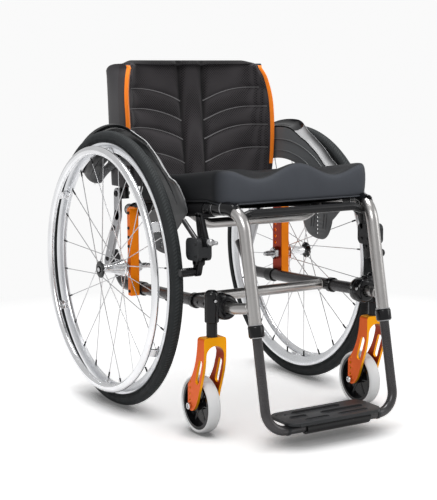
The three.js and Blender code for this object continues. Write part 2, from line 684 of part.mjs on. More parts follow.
// Rear wheels
function rearTyre() {
  const seatRadius = tyreSeatRadius + seatGap;
  const centre = wheel.radius - wheel.tyreHalfWidth;
  const profile = [[seatRadius, -wheel.rimHalfWidth + wheel.rimWall]];
  const turns = 6;
  for (let k = 0; k <= turns; k += 1) {
    const angle = -Math.PI / 5 + (Math.PI * 7 / 5) * k / turns;
    profile.push([centre + wheel.tyreHalfWidth * Math.sin(angle), -wheel.tyreHalfWidth * Math.cos(angle)]);
  }
  const beadHalfWidth = wheel.rimHalfWidth - wheel.rimWall;
  profile.push([seatRadius, beadHalfWidth], [seatRadius, -beadHalfWidth]);
  return turned(profile, wheel.segments, wheel.halfTrack, 0, wheel.radius);
}

function rim() {
  const half = wheel.rimHalfWidth;
  const profile = [
    [rimInnerRadius, -half / 3], [tyreSeatRadius - wheel.rimWall * 2, -half],
    [tyreSeatRadius, -half], [tyreSeatRadius, half], [tyreSeatRadius - wheel.rimWall * 2, half],
    [rimInnerRadius, half / 3], [rimInnerRadius, -half / 3],
  ];
  return turned(profile, wheel.segments, wheel.halfTrack, 0, wheel.radius);
}

function handrim() {
  const x = wheel.halfTrack + wheel.handrimOffset;
  const profile = [];
  const sides = 6;
  for (let k = 0; k <= sides; k += 1) {
    const angle = 2 * Math.PI * (k % sides) / sides;
    profile.push([handrimRadius + wheel.handrimTubeRadius * Math.cos(angle),
      wheel.handrimTubeRadius * Math.sin(angle)]);
  }
  const ring = turned(profile, wheel.segments, x, 0, wheel.radius);
  const tabs = [];
  const inner = wheel.halfTrack + wheel.rimHalfWidth + seatGap;
  const length = x - inner;
  for (let k = 0; k < wheel.tabCount; k += 1) {
    const tab = new THREE.BoxGeometry(length, 2 * wheel.tabHalfWidth, wheel.tabThickness);
    tab.translate(inner + length / 2, 0, handrimRadius + wheel.handrimTubeRadius);
    tab.rotateX(2 * Math.PI * (k + 0.5) / wheel.tabCount);
    tabs.push(tab.translate(0, 0, wheel.radius));
  }
  return union(ring, ...tabs);
}

function hubAndSpokes() {
  const { hubInnerEnd, hubOuterEnd, flangeThickness, halfTrack } = wheel;
  const hub = turned([
    [hubBore, hubInnerEnd], [wheel.hubInnerBody, hubInnerEnd],
    [wheel.hubInnerFlange, hubInnerEnd + flangeThickness],
    [wheel.hubInnerFlange, hubInnerEnd + 2 * flangeThickness],
    [wheel.hubInnerBody, hubInnerEnd + 3 * flangeThickness],
    [wheel.hubWaist, hubOuterEnd - 3 * flangeThickness],
    [wheel.hubOuterFlange, hubOuterEnd - 2 * flangeThickness],
    [wheel.hubOuterFlange, hubOuterEnd - flangeThickness],
    [wheel.hubWaist, hubOuterEnd], [hubBore, hubOuterEnd], [hubBore, hubInnerEnd],
  ], 16, halfTrack, 0, wheel.radius);
  const place = (radius, angle, x) => at(x, radius * Math.cos(angle), wheel.radius + radius * Math.sin(angle));
  const reach = rimInnerRadius * Math.cos(Math.PI / wheel.segments) - 2 * seatGap;
  const spokes = [];
  for (let k = 0; k < wheel.spokeCount; k += 1) {
    const inner = k % 2 === 0;
    const rimAngle = 2 * Math.PI * (k + 0.5) / wheel.spokeCount;
    const lean = (Math.floor(k / 2) % 2 === 0 ? 1 : -1) * wheel.spokeCrossAngle;
    const spokeX = halfTrack + Math.sign(lean) * wheel.spokeRadius * 1.1;
    const flangeX = spokeX + (inner ? hubInnerEnd + 1.5 * flangeThickness : hubOuterEnd - 1.5 * flangeThickness);
    const flangeRadius = (inner ? wheel.hubInnerFlange : wheel.hubOuterFlange) - flangeThickness;
    const root = place(flangeRadius, rimAngle + lean * 2, flangeX);
    spokes.push(rod(root, place(reach, rimAngle, spokeX), wheel.spokeRadius, 3));
  }
  return union(hub, ...spokes);
}

function hubCap() {
  const start = wheel.halfTrack + wheel.hubOuterEnd + seatGap;
  const end = start + wheel.capDepth - wheel.rimWall;
  return turned([
    [hubBore + runningGap, start], [wheel.capRadius, start], [wheel.capRadius - wheel.rimWall, end],
    [hubBore + runningGap, end], [hubBore + runningGap, start],
  ], 20, 0, 0, wheel.radius);
}

// Footrest: a U tube in the two legs, with a plate hinged on its cross bar
function footrestTube() {
  const top = alongLeg(footrest.insertion);
  const corner = at(leg.halfSpan, footrestY, footrest.bottomZ);
  const flip = (p) => at(-p.x, p.y, p.z);
  return bentTube([top, corner, flip(corner), flip(top)], [footrest.cornerRadius, footrest.cornerRadius],
    footrestTubeRadius, { sides: footrest.sides, bendSteps: 6 });
}

function footrestClamp() {
  const sleeve = rod(alongLeg(-footClamp.length / 3), alongLeg(footClamp.length * 2 / 3), footClamp.radius,
    footClamp.segments);
  const bolt = rod(at(leg.halfSpan, leg.endY, leg.endZ + footClamp.length / 4),
    at(leg.halfSpan, leg.endY + footClamp.radius + footClamp.boltLength, leg.endZ + footClamp.length / 4),
    footClamp.boltRadius, 8);
  const legTube = rod(alongLeg(-seatGap), alongLeg(footClamp.length), tube.radius + 2 * seatGap, 16);
  const innerRadius = footrestTubeRadius + 2 * seatGap;
  const inner = rod(alongLeg(-footClamp.length), alongLeg(footClamp.length), innerRadius, 16);
  return cut(union(sleeve, bolt), legTube, inner);
}

function footplateSolid() {
  const y = footrestY;
  const { halfWidth, corner } = footplate;
  const middle = (footplate.back + footplate.front) / 2;
  const outline = roundedBox(halfWidth, footplate.back - middle, corner, 0, y + middle);
  for (let k = 0; k < footplate.slotCount; k += 1) {
    const x = (k - (footplate.slotCount - 1) / 2) * slotPitch;
    outline.holes.push(ovalHole(x, y + footplate.slotY, slotHalfLength, footplate.slotHalfWidth, 12));
  }
  const depth = footplate.thickness;
  const slab = new THREE.ExtrudeGeometry(outline, { depth, bevelEnabled: false, curveSegments: 5 });
  slab.translate(0, 0, footrest.bottomZ + footplate.lift);
  const clamps = [-1, 1].map((side) => rod(
    at(side * footplateClampX - footplate.clampHalfLength, y, footrest.bottomZ),
    at(side * footplateClampX + footplate.clampHalfLength, y, footrest.bottomZ), footplate.clampRadius, 20));
  const bore = rod(at(-halfWidth, y, footrest.bottomZ), at(halfWidth, y, footrest.bottomZ),
    footrestTubeRadius + runningGap, 20);
  return cut(union(slab, ...clamps), bore);
}

// Seat sling: a panel between two sleeves that wrap the seat rails
function seatSling() {
  const outer = tube.radius + seatGap + sling.sleeveWall;
  const profile = new THREE.Shape();
  const half = sling.thickness / 2;
  const angle = Math.asin(half / outer);
  profile.absarc(seat.railHalfSpan, 0, outer, Math.PI + angle, 3 * Math.PI - angle, false);
  profile.absarc(-seat.railHalfSpan, 0, outer, angle, 2 * Math.PI - angle, false);
  profile.closePath();
  [-1, 1].forEach((side) => {
    const radius = tube.radius + 2 * seatGap;
    profile.holes.push(ovalHole(side * seat.railHalfSpan, 0, radius, radius, 14));
  });
  const length = Math.hypot(sling.rearY - sling.frontY, railZ(sling.rearY) - railZ(sling.frontY));
  const cloth = new THREE.ExtrudeGeometry(profile, { depth: length, bevelEnabled: false, curveSegments: 5 });
  cloth.rotateX(Math.PI / 2 + Math.atan(railSlope));
  cloth.translate(0, sling.rearY, railZ(sling.rearY));
  const roomWidth = 2 * (plate.clampRadius + cutOverrun);
  const clampRoom = new THREE.BoxGeometry(roomWidth, plate.backY - plate.frontY + 2 * cutOverrun, roomWidth);
  const room = clampRoom.translate(seat.railHalfSpan, (plate.frontY + plate.backY) / 2, railZ(0));
  const tubeRoom = bentTube([
    at(-seat.railHalfSpan, upperCross.y, railZ(upperCross.y)),
    at(-seat.railHalfSpan + upperCross.reach, upperCross.y, railZ(upperCross.y) - upperCross.drop),
    at(seat.railHalfSpan - upperCross.reach, upperCross.y, railZ(upperCross.y) - upperCross.drop),
    at(seat.railHalfSpan, upperCross.y, railZ(upperCross.y)),
  ], [upperCross.reach, upperCross.reach], upperCross.radius + runningGap);
  return cut(cloth, room, mirrored(room), tubeRoom, brakeClampRoom(), mirrored(brakeClampRoom()));
}

// Cushion: a contoured pad with two thigh channels, a pommel and a rear well, as a closed grid
function cushionTop(shareX, shareY) {
  const { edge, rearEdge, well, pommel, wellRearShare } = cushion;
  const front = 1 - shareY;
  const channel = (1 - Math.cos(2 * Math.PI * shareX)) / 2;
  const crest = pommel * Math.cos(Math.PI * shareX / 2) ** 8 * front;
  const rearWell = well * Math.sin(Math.PI * Math.min(1, shareY / (2 * wellRearShare))) * (1 - shareX ** 2);
  return edge + (rearEdge - edge) * shareY - well * channel * front + crest - rearWell;
}

function cushionPad() {
  const { columns, rows, round } = cushion;
  const base = tube.radius + seatGap + sling.sleeveWall + 2 * seatGap;
  const positions = [];
  const index = [];
  const point = (i, j, level) => {
    const u = (i / columns) * 2 - 1;
    const v = j / rows;
    const edge = Math.max(Math.abs(u), Math.abs(v * 2 - 1));
    const inset = level === 1 ? round * cushion.insetShare * (edge ** 6) : 0;
    const x = u * (cushion.halfWidth - inset);
    const y = cushion.frontY + inset + (cushion.rearY - cushion.frontY - 2 * inset) * v;
    const top = cushionTop(Math.abs(u), v) - round * edge ** 10;
    return [x, y, railZ(y) + base + (level === 1 ? top : 0)];
  };
  const id = (i, j, level) => (level * (rows + 1) + j) * (columns + 1) + i;
  [0, 1].forEach((level) => {
    for (let j = 0; j <= rows; j += 1) {
      for (let i = 0; i <= columns; i += 1) positions.push(...point(i, j, level));
    }
  });
  const quad = (a, b, c, d) => index.push(a, b, c, a, c, d);
  for (let j = 0; j < rows; j += 1) {
    for (let i = 0; i < columns; i += 1) {
      quad(id(i, j, 1), id(i + 1, j, 1), id(i + 1, j + 1, 1), id(i, j + 1, 1));
      quad(id(i, j, 0), id(i, j + 1, 0), id(i + 1, j + 1, 0), id(i + 1, j, 0));
    }
    quad(id(0, j, 0), id(0, j, 1), id(0, j + 1, 1), id(0, j + 1, 0));
    quad(id(columns, j, 0), id(columns, j + 1, 0), id(columns, j + 1, 1), id(columns, j, 1));
  }
  for (let i = 0; i < columns; i += 1) {
    quad(id(i, 0, 0), id(i + 1, 0, 0), id(i + 1, 0, 1), id(i, 0, 1));
    quad(id(i, rows, 0), id(i, rows, 1), id(i + 1, rows, 1), id(i + 1, rows, 0));
  }
  const geometry = new THREE.BufferGeometry();
  geometry.setAttribute('position', new THREE.Float32BufferAttribute(positions, 3));
  geometry.setIndex(index);
  geometry.computeVertexNormals();
  return geometry;
}

// Side guard: a crescent panel beside the tyre, with a lobe down to its post and a lip out over the tread
function sideGuard() {
  const z0 = wheel.radius;
  const { inner, thickness, lobeY, lobeZ, postPitch, lipThickness } = guard;
  const polar = (radius, angle) => [radius * Math.cos(angle), z0 + radius * Math.sin(angle)];
  const radians = THREE.MathUtils.degToRad;
  const rear = radians(guard.rearAngle);
  const rearRound = radians(guard.rearAngle + guard.endRoundAngle);
  const front = radians(guard.frontAngle);
  const middleRadius = (guardInnerRadius + guardOuterRadius) / 2;
  const [lobeFront, lobeFrontFoot, lobeRearFoot, lobeRear] = guardLobeShares.map(
    ([along, up]) => [lobeY + along * postPitch, lobeZ + up * postPitch]);
  const panel = new THREE.Shape();
  panel.moveTo(...polar(guardInnerRadius, rearRound));
  panel.quadraticCurveTo(...polar(middleRadius, rear), ...polar(guardOuterRadius, rear));
  panel.absarc(0, z0, guardOuterRadius, rear, front, false);
  const nose = polar(guardOuterRadius * guard.noseShare, radians(guard.frontAngle + guard.noseAngle));
  panel.quadraticCurveTo(...nose, ...lobeFront);
  panel.quadraticCurveTo(...lobeFrontFoot, lobeY, lobeZ);
  panel.quadraticCurveTo(...lobeRearFoot, ...lobeRear);
  const innerEnd = radians(guard.lobeAngle);
  panel.lineTo(...polar(guardInnerRadius, innerEnd));
  panel.absarc(0, z0, guardInnerRadius, innerEnd, rearRound, true);
  for (let k = 1; k <= guard.postHoles; k += 1) {
    const hole = ovalHole(lobeY, lobeZ + postPitch * k, guard.postHoleRadius, guard.postHoleRadius, 8);
    panel.holes.push(hole);
  }
  const sheet = sidePrism(panel, inner, inner + thickness, 7);
  const shoulder = inner + guardLipReach / 3;
  const ring = turned([
    [guardOuterRadius - thickness, inner], [guardOuterRadius, inner], [guardLipRadius, shoulder],
    [guardLipRadius + thickness, inner + guardLipReach],
    [guardLipRadius + thickness - lipThickness, inner + guardLipReach],
    [guardLipRadius - lipThickness, shoulder + thickness], [guardOuterRadius - thickness, inner + thickness],
    [guardOuterRadius - thickness, inner],
  ], 36, 0, 0, z0);
  const wedge = new THREE.Shape();
  const far = guardLipRadius * 2;
  const lipFront = radians(guard.lipFrontAngle);
  wedge.moveTo(0, z0);
  [rear, (rear + lipFront) / 2, lipFront].forEach((angle) => wedge.lineTo(...polar(far, angle)));
  wedge.closePath();
  const lip = common(ring, sidePrism(wedge, inner - cutOverrun, inner + 2 * guardLipReach));
  const railSide = seat.railHalfSpan + tube.radius + 2 * seatGap + sling.sleeveWall;
  const bosses = [-1, 1].map((side) => {
    const y = lobeY + side * guard.bossSpan;
    return rod(at(railSide, y, railZ(y)), at(inner + thickness / 2, y, railZ(y)), guard.bossRadius, 10);
  });
  return union(sheet, lip, ...bosses);
}

// Back
const caneSlope = (back.caneTopY - bracket.hingeY) / (back.caneTopZ - bracket.hingeZ);
const caneY = (z) => bracket.hingeY + (z - bracket.hingeZ) * caneSlope;

function backCane() {
  const x = seat.railHalfSpan;
  const cane = rod(at(x, caneY(back.caneBottomZ), back.caneBottomZ), at(x, back.caneTopY, back.caneTopZ),
    back.caneRadius, 10);
  const pinRoom = rod(at(x - bracket.width, bracket.hingeY, bracket.hingeZ),
    at(x + bracket.width, bracket.hingeY, bracket.hingeZ), bracket.pinRadius + runningGap, 16);
  return cut(cane, pinRoom);
}

function rigidiserTube(radius) {
  const y = caneY(back.barZ);
  const rear = y + back.caneRadius + back.barRadius / 2;
  const x = seat.railHalfSpan;
  return bentTube([
    at(-x, y, back.barZ), at(-x + back.barDip, rear, back.barZ - back.barDip / 2),
    at(x - back.barDip, rear, back.barZ - back.barDip / 2), at(x, y, back.barZ),
  ], [back.barDip / 2, back.barDip / 2], radius);
}

function rigidiserBar() {
  const x = seat.railHalfSpan;
  const cane = rod(at(x, caneY(back.caneBottomZ), back.caneBottomZ), at(x, back.caneTopY, back.caneTopZ),
    back.caneRadius + seatGap, 10);
  return cut(rigidiserTube(back.barRadius), cane, mirrored(cane));
}

// The padded shell: a C section whose wings wrap the canes, lofted upward
function shellSection(share) {
  const { edgeWidth, edgeStep, edgeRound, cheek, rearCheek, rearCorner, sleeveWidth, channelWidth } = back;
  const tapered = Math.max(0, share - back.taperStartShare) / (1 - back.taperStartShare);
  const swell = Math.sin(Math.PI * Math.min(1, share * back.wingRunShare)) ** back.wingRoundShare;
  const outer = back.outerHalfWidth - back.topTaper * tapered ** 2;
  const z = back.shellBottom + (back.shellTop - back.shellBottom) * share;
  const lean = caneY(z) - caneY(bracket.hingeZ);
  const panelY = back.panelY + lean;
  const rearY = back.rearY + lean;
  const frontY = rearY - back.sleeveDepth * 3 - back.wingDepth * swell;
  const half = [
    [0, panelY + back.spineDepth], [outer * back.midShare, panelY + back.midDepth],
    [outer * back.sideShare, panelY - back.sideLift], [outer - edgeWidth, frontY],
    [outer - edgeStep, frontY + edgeRound], [outer, frontY + cheek], [outer, rearY - rearCheek],
    [outer - rearCorner, rearY - edgeStep], [outer - sleeveWidth, rearY],
    [outer - channelWidth, rearY - back.channelDepth],
    [outer * back.rearShare, panelY + back.spineDepth + back.panelThickness],
  ];
  const spineY = panelY + back.spineDepth + back.spineRound + back.panelThickness;
  const right = half.map(([x, y]) => [x, y, z]);
  const left = half.slice(1).reverse().map(([x, y]) => [-x, y, z]);
  return [...right, [0, spineY, z], ...left];
}

function backShell() {
  const sections = Array.from({ length: back.levels + 1 }, (_, k) => shellSection(k / back.levels));
  const count = sections[0].length;
  const positions = sections.flat(2);
  const index = [];
  for (let level = 0; level < back.levels; level += 1) {
    for (let k = 0; k < count; k += 1) {
      const next = (k + 1) % count;
      const a = level * count + k;
      const b = level * count + next;
      index.push(a, b, b + count, a, b + count, a + count);
    }
  }
  const outline = sections[0].map(([x, y]) => new THREE.Vector2(x, y));
  THREE.ShapeUtils.triangulateShape(outline, []).forEach(([a, b, c]) => {
    index.push(a, c, b);
    index.push(back.levels * count + a, back.levels * count + b, back.levels * count + c);
  });
  const geometry = new THREE.BufferGeometry();
  geometry.setAttribute('position', new THREE.Float32BufferAttribute(positions, 3));
  geometry.setIndex(index);
  geometry.computeVertexNormals();
  const x = seat.railHalfSpan;
  const cane = rod(at(x, caneY(back.caneBottomZ - cutOverrun), back.caneBottomZ - cutOverrun),
    at(x, caneY(back.caneTopZ + seatGap), back.caneTopZ + seatGap), back.caneRadius + seatGap, 10);
  const bar = rigidiserTube(back.barRadius + seatGap);
  const pinRoom = rod(at(x - bracket.width, bracket.hingeY, bracket.hingeZ),
    at(x + bracket.width, bracket.hingeY, bracket.hingeZ), bracket.eyeRadius + runningGap, 16);
  const eyeRadius = bracket.width / 2 + 2 * runningGap;
  const eyeShape = capsule(bracket.hingeY, bracket.hingeZ, bracket.hingeY, bracket.kneeZ, eyeRadius);
  const bracketOuter = bracket.inner + bracket.thickness;
  const eyeRoom = sidePrism(eyeShape, bracket.inner - runningGap, bracketOuter + bracket.boltHeight);
  return cut(geometry, cane, mirrored(cane), bar, pinRoom, mirrored(pinRoom), eyeRoom, mirrored(eyeRoom));
}

// Brakes
function brakeClampRoom() {
  return rod(at(seat.railHalfSpan, brake.railY + brake.clampLength / 2 + runningGap, railZ(brake.railY)),
    at(seat.railHalfSpan, brake.railY - brake.clampLength / 2 - runningGap, railZ(brake.railY)),
    brake.clampRadius + 2 * runningGap, 14);
}

function brakeBracket() {
  const { railY, clampLength, x } = brake;
  const clamp = rod(at(seat.railHalfSpan, railY + clampLength / 2, railZ(railY + clampLength / 2)),
    at(seat.railHalfSpan, railY - clampLength / 2, railZ(railY - clampLength / 2)), brake.clampRadius, 14);
  const inner = x - brake.bodyHalfWidth;
  const bridge = new THREE.BoxGeometry(inner + brake.armThickness - seat.railHalfSpan, brake.armWidth * 2,
    brake.armThickness);
  bridge.translate((inner + brake.armThickness + seat.railHalfSpan) / 2, railY,
    railZ(railY) - brake.clampRadius + brake.armThickness / 2);
  const top = railZ(railY) - brake.clampRadius + brake.armThickness / 2;
  const arms = [-1, 1].map((side) => sidePrism(capsule(railY + side * brake.armWidth / 2, top,
    brake.bodyY + side * brake.armWidth, brake.bodyZ + brake.bodyHalfHeight - brake.armWidth / 2,
    brake.armWidth / 2 - seatGap), inner, inner + brake.armThickness));
  const roomShape = roundedBox(brake.bodyHalfDepth + seatGap, brake.bodyHalfHeight + seatGap, brake.corner,
    brake.bodyY, brake.bodyZ);
  const bodyRoom = sidePrism(roomShape, inner - seatGap, x + brake.bodyHalfWidth + seatGap);
  return cut(union(clamp, bridge, ...arms), framePath(tube.radius + seatGap), bodyRoom);
}

function brakeHousing() {
  const { x, bodyY, bodyZ, bodyHalfWidth } = brake;
  const block = sidePrism(roundedBox(brake.bodyHalfDepth, brake.bodyHalfHeight, brake.corner, bodyY, bodyZ),
    x - bodyHalfWidth, x + bodyHalfWidth);
  const knob = rod(at(x, bodyY - brake.bodyHalfDepth + cutOverrun, brake.knobZ),
    at(x, brake.knobY - brake.knobLength / 2, brake.knobZ), brake.knobRadius, 10);
  const tip = rod(at(x, brake.knobY, brake.knobZ), at(x, brake.knobY - brake.knobLength / 2 - brake.tipLength,
    brake.knobZ), brake.tipRadius, 8);
  const taperedHalfWidth = bodyHalfWidth - brake.bodyTaper;
  const footTop = bodyZ - brake.bodyHalfHeight + brake.corner;
  const footShape = capsule(brake.shoeY, footTop, brake.shoeY, brake.shoeZ, brake.shoeEye);
  const foot = sidePrism(footShape, x - taperedHalfWidth, x + taperedHalfWidth);
  const leverSlot = new THREE.BoxGeometry(2 * brake.slotHalfWidth, 8 * brake.leverEye, 4 * brake.leverEye);
  leverSlot.translate(x, brake.leverY, brake.leverZ + brake.leverEye);
  const shoeSlot = new THREE.BoxGeometry(2 * brake.slotHalfWidth, 6 * brake.shoeEye, 4 * brake.shoeEye);
  shoeSlot.translate(x, brake.shoeY, brake.shoeZ - brake.shoeEye / 2);
  const pins = [[brake.leverY, brake.leverZ], [brake.shoeY, brake.shoeZ]].map(([y, z]) => rod(
    at(x - taperedHalfWidth, y, z), at(x + taperedHalfWidth, y, z), brake.pinRadius, 8));
  return union(cut(union(block, knob, tip, foot), leverSlot, shoeSlot), ...pins);
}

function brakeLever() {
  const { x, leverY, leverZ } = brake;
  const half = brake.slotHalfWidth - runningGap;
  const eye = rod(at(x - half, leverY, leverZ), at(x + half, leverY, leverZ), brake.leverEye, 16);
  const arm = rod(at(x, leverY, leverZ), at(x, brake.leverEndY, brake.leverEndZ), brake.leverRadius, 10);
  const boreRadius = brake.pinRadius + seatGap * 2;
  const bore = rod(at(x - 2 * half, leverY, leverZ), at(x + 2 * half, leverY, leverZ), boreRadius, 12);
  return cut(union(eye, arm), bore);
}

function brakeShoe() {
  const { x, shoeY, shoeZ, barY, barZ } = brake;
  const half = brake.slotHalfWidth - runningGap;
  const arm = sidePrism(capsule(shoeY, shoeZ, barY, barZ, brake.shoeEye - runningGap), x - half, x + half);
  const bar = rod(at(x - half, barY, barZ), at(x + brakeBarReach, barY, barZ), brake.barRadius, 12);
  const boreRadius = brake.pinRadius + seatGap * 2;
  const bore = rod(at(x - 2 * half, shoeY, shoeZ), at(x + 2 * half, shoeY, shoeZ), boreRadius, 12);
  return cut(union(arm, bar), bore);
}

// Assembly
addPair('side_frame', sideFrame(), 'frame');
addPair('lower_rail', lowerRailTube(tube.radius), 'graphite');
crossTubes();
frontSeatBar();
addPair('rail_collar', railCollar(), 'black');
addPair('axle_plate', axlePlate(), 'orange');
addPair('axle_receiver', axleReceiver(), 'steel');
addPair('quick_axle', quickAxle(), 'steel');
addPair('axle_button', axleButton(), 'steel');
addPair('rear_bracket', rearBracket(), 'frame');
addPair('caster_housing', casterHousing(), 'black');
addPair('caster_fork', casterFork(caster.halfTrack), 'orange');
addPair('caster_core', casterCore(caster.halfTrack), 'black');
addPair('caster_tyre', casterTyre(caster.halfTrack), 'casterTyre');
addPair('caster_axle', casterAxle(caster.halfTrack), 'steel');
addPair('rear_tyre', rearTyre(), 'rubber');
addPair('rear_rim', rim(), 'rim');
addPair('handrim', handrim(), 'rim');
addPair('rear_hub', hubAndSpokes(), 'steel');
addPair('hub_cap', hubCap(), 'black');
add('footrest_tube', footrestTube(), 'graphite');
addPair('footrest_clamp', footrestClamp(), 'black');
add('footplate', footplateSolid(), 'black');
add('seat_sling', seatSling(), 'fabric');
add('seat_cushion', cushionPad(), 'cushion');
addPair('side_guard', sideGuard(), 'plastic');
addPair('back_cane', backCane(), 'black');
add('back_rigidiser_bar', rigidiserBar(), 'black');
add('back_shell', backShell(), 'fabric');
addPair('brake_bracket', brakeBracket(), 'black');
addPair('brake_housing', brakeHousing(), 'black');
addPair('brake_lever', brakeLever(), 'black');
addPair('brake_shoe', brakeShoe(), 'black');

part.position.set(0, originShift, 0);
part.updateMatrixWorld(true);

export default part;
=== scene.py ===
# Looks of the rigid-frame wheelchair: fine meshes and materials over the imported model.
# Lengths are millimetres in the chair's own frame: the rear axle is Y = 0, +X is the rider's left and the
# floor is Z = 0. The pieces of a side are worked out for the left, and the right gets their mirror image.
import math

import bmesh
import bpy
from mathutils import Matrix, Vector


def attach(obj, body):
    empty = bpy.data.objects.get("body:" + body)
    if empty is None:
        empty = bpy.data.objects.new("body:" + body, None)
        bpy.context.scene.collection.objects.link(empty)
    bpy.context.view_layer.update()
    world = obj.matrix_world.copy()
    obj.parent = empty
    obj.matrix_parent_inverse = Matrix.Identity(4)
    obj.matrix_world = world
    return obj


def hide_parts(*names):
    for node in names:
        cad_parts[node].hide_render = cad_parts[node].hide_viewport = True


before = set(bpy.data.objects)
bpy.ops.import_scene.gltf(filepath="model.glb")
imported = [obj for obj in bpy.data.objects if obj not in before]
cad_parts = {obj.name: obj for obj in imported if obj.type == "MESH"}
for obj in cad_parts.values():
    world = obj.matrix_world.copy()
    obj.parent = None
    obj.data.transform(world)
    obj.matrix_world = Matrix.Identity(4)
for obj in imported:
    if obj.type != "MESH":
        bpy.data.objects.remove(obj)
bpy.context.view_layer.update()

MM = 0.001
ORIGIN_SHIFT = 106.32
SIDES = {"left": 1, "right": -1}
SHARED_BODIES = ("chassis", "backrest", "footrest", "footplate")
SMALL_GAP = 0.3
SHARP_DEGREES = 38
ALONG_X, ALONG_Y, ALONG_Z = (1, 0, 0), (0, 1, 0), (0, 0, 1)
INWARD = (-1, 0, 0)
FORWARD = (0, -1, 0)

# Driving sizes of the wheels
WHEEL_RADIUS = 298
HALF_TRACK = 242
CASTER_X = 200
CASTER_Y = -348
CASTER_TRAIL = 45
CASTER_RADIUS = 59
FORK_TOP = 205

# Driving sizes of the frame: the seat rail runs forward to the bend, and the leg runs down from there
TUBE_RADIUS = 12.5
RAIL_X = 172
RAIL_REAR_Y, RAIL_REAR_Z = 50, 418
JOG_Y = -325
CORNER_Y, CORNER_Z = -390, 459
LEG_X = 155
LEG_END_Y, LEG_END_Z = -443, 202
LEG_CLAMP_RAISE = 21
LOWER_REAR_Y, LOWER_REAR_Z = -112, 252
LOWER_FRONT_Y, LOWER_FRONT_Z = -352, 262
FOOT_Z = 34
FOOT_TUBE = 9.7
LEG_END = Vector((LEG_X, LEG_END_Y, LEG_END_Z))
LEG_UP = Vector((0, CORNER_Y - LEG_END_Y, CORNER_Z - LEG_END_Z)).normalized()
LEG_SHOWN_END = LEG_END + LEG_UP * LEG_CLAMP_RAISE
FOOT_Y = LEG_END_Y + (FOOT_Z - LEG_END_Z) * LEG_UP.y / LEG_UP.z

# Driving sizes of the back
HINGE_Y, HINGE_Z = 76, 452
CANE_TOP_Y, CANE_TOP_Z = 92, 738
SHELL_BOTTOM, SHELL_TOP = 470, 746
SHELL_HEIGHT = SHELL_TOP - SHELL_BOTTOM


def place(x, y, z):
    return Vector((x, y + ORIGIN_SHIFT, z)) * MM


def between(value, from_start, from_end, to_start, to_end):
    """Where a value falls on a straight line through two pairs."""
    return to_start + (value - from_start) * (to_end - to_start) / (from_end - from_start)


def rail_z(y):
    return between(y, RAIL_REAR_Y, CORNER_Y, RAIL_REAR_Z, CORNER_Z)


def lower_z(y):
    return between(y, LOWER_REAR_Y, LOWER_FRONT_Y, LOWER_REAR_Z, LOWER_FRONT_Z)


def cane_y(z):
    return between(z, HINGE_Z, CANE_TOP_Z, HINGE_Y, CANE_TOP_Y)


def eased(value, low, high):
    share = max(0.0, min(1.0, (value - low) / (high - low)))
    return share * share * (3 - 2 * share)


# Material nodes
def add(tree, kind, output, inputs, **settings):
    """A new node's output; each input is a number, a colour or the output of another node."""
    node = tree.nodes.new("ShaderNode" + kind)
    for key, value in settings.items():
        setattr(node, key, value)
    for socket, value in inputs.items():
        if isinstance(value, bpy.types.NodeSocket):
            tree.links.new(value, node.inputs[socket])
        else:
            node.inputs[socket].default_value = value
    return node.outputs[output]


def new_material(name, **sockets):
    """A material with values set on its shader; gleam stands for the specular level."""
    material = bpy.data.materials.new(name)
    material.use_nodes = True
    shader = material.node_tree.nodes["Principled BSDF"]
    for socket, value in sockets.items():
        title = "Specular IOR Level" if socket == "gleam" else socket.replace("_", " ").title()
        shader.inputs[title].default_value = value
    return material, material.node_tree, shader


def math_node(tree, operation, *values):
    return add(tree, "Math", 0, dict(enumerate(values)), operation=operation)


def texture_place(tree, scale, turn=(0, 0, 0)):
    spot = add(tree, "TexCoord", "Object", {})
    return add(tree, "Mapping", "Vector", {"Vector": spot, "Scale": scale, "Rotation": turn})


def noise(tree, scale, detail, stretch=(1, 1, 1)):
    return add(tree, "TexNoise", "Fac", {"Scale": scale, "Detail": detail,
                                         "Vector": texture_place(tree, stretch)})


def ranged(tree, value, low, high, from_low=0.3, from_high=0.7):
    return add(tree, "MapRange", "Result", {"Value": value, "From Min": from_low, "From Max": from_high,
                                            "To Min": low, "To Max": high})


def mixed(tree, factor, first, second, blend="MIX"):
    colours = [(*colour, 1) if isinstance(colour, tuple) else colour for colour in (first, second)]
    return add(tree, "Mix", 2, {0: factor, 6: colours[0], 7: colours[1]}, data_type="RGBA", blend_type=blend)


def coloured(tree, shader, colour):
    tree.links.new(colour, shader.inputs["Base Color"])


def bumped(tree, shader, height, strength, distance):
    normal = add(tree, "Bump", "Normal", {"Strength": strength, "Distance": distance, "Height": height})
    tree.links.new(normal, shader.inputs["Normal"])


def position(tree):
    """A place's three coordinates in the model, in metres."""
    node = add(tree, "SeparateXYZ", 0, {"Vector": add(tree, "TexCoord", "Object", {})}).node
    return node.outputs["X"], node.outputs["Y"], node.outputs["Z"]


def from_axle(tree):
    """How far a place lies behind the rear axle and above it."""
    _, y, z = position(tree)
    along = math_node(tree, "SUBTRACT", y, ORIGIN_SHIFT * MM)
    return along, math_node(tree, "SUBTRACT", z, WHEEL_RADIUS * MM)


def facing(tree, axis):
    """How a face looks along an axis of its object: 1 along it and -1 against it."""
    return add(tree, "SeparateXYZ", axis, {"Vector": add(tree, "TexCoord", "Normal", {})})


def outward(tree, x):
    """How a face looks away from the chair's middle: above 0 on an outer side and below 0 on an inner one."""
    return math_node(tree, "MULTIPLY", facing(tree, "X"), math_node(tree, "SIGN", x))


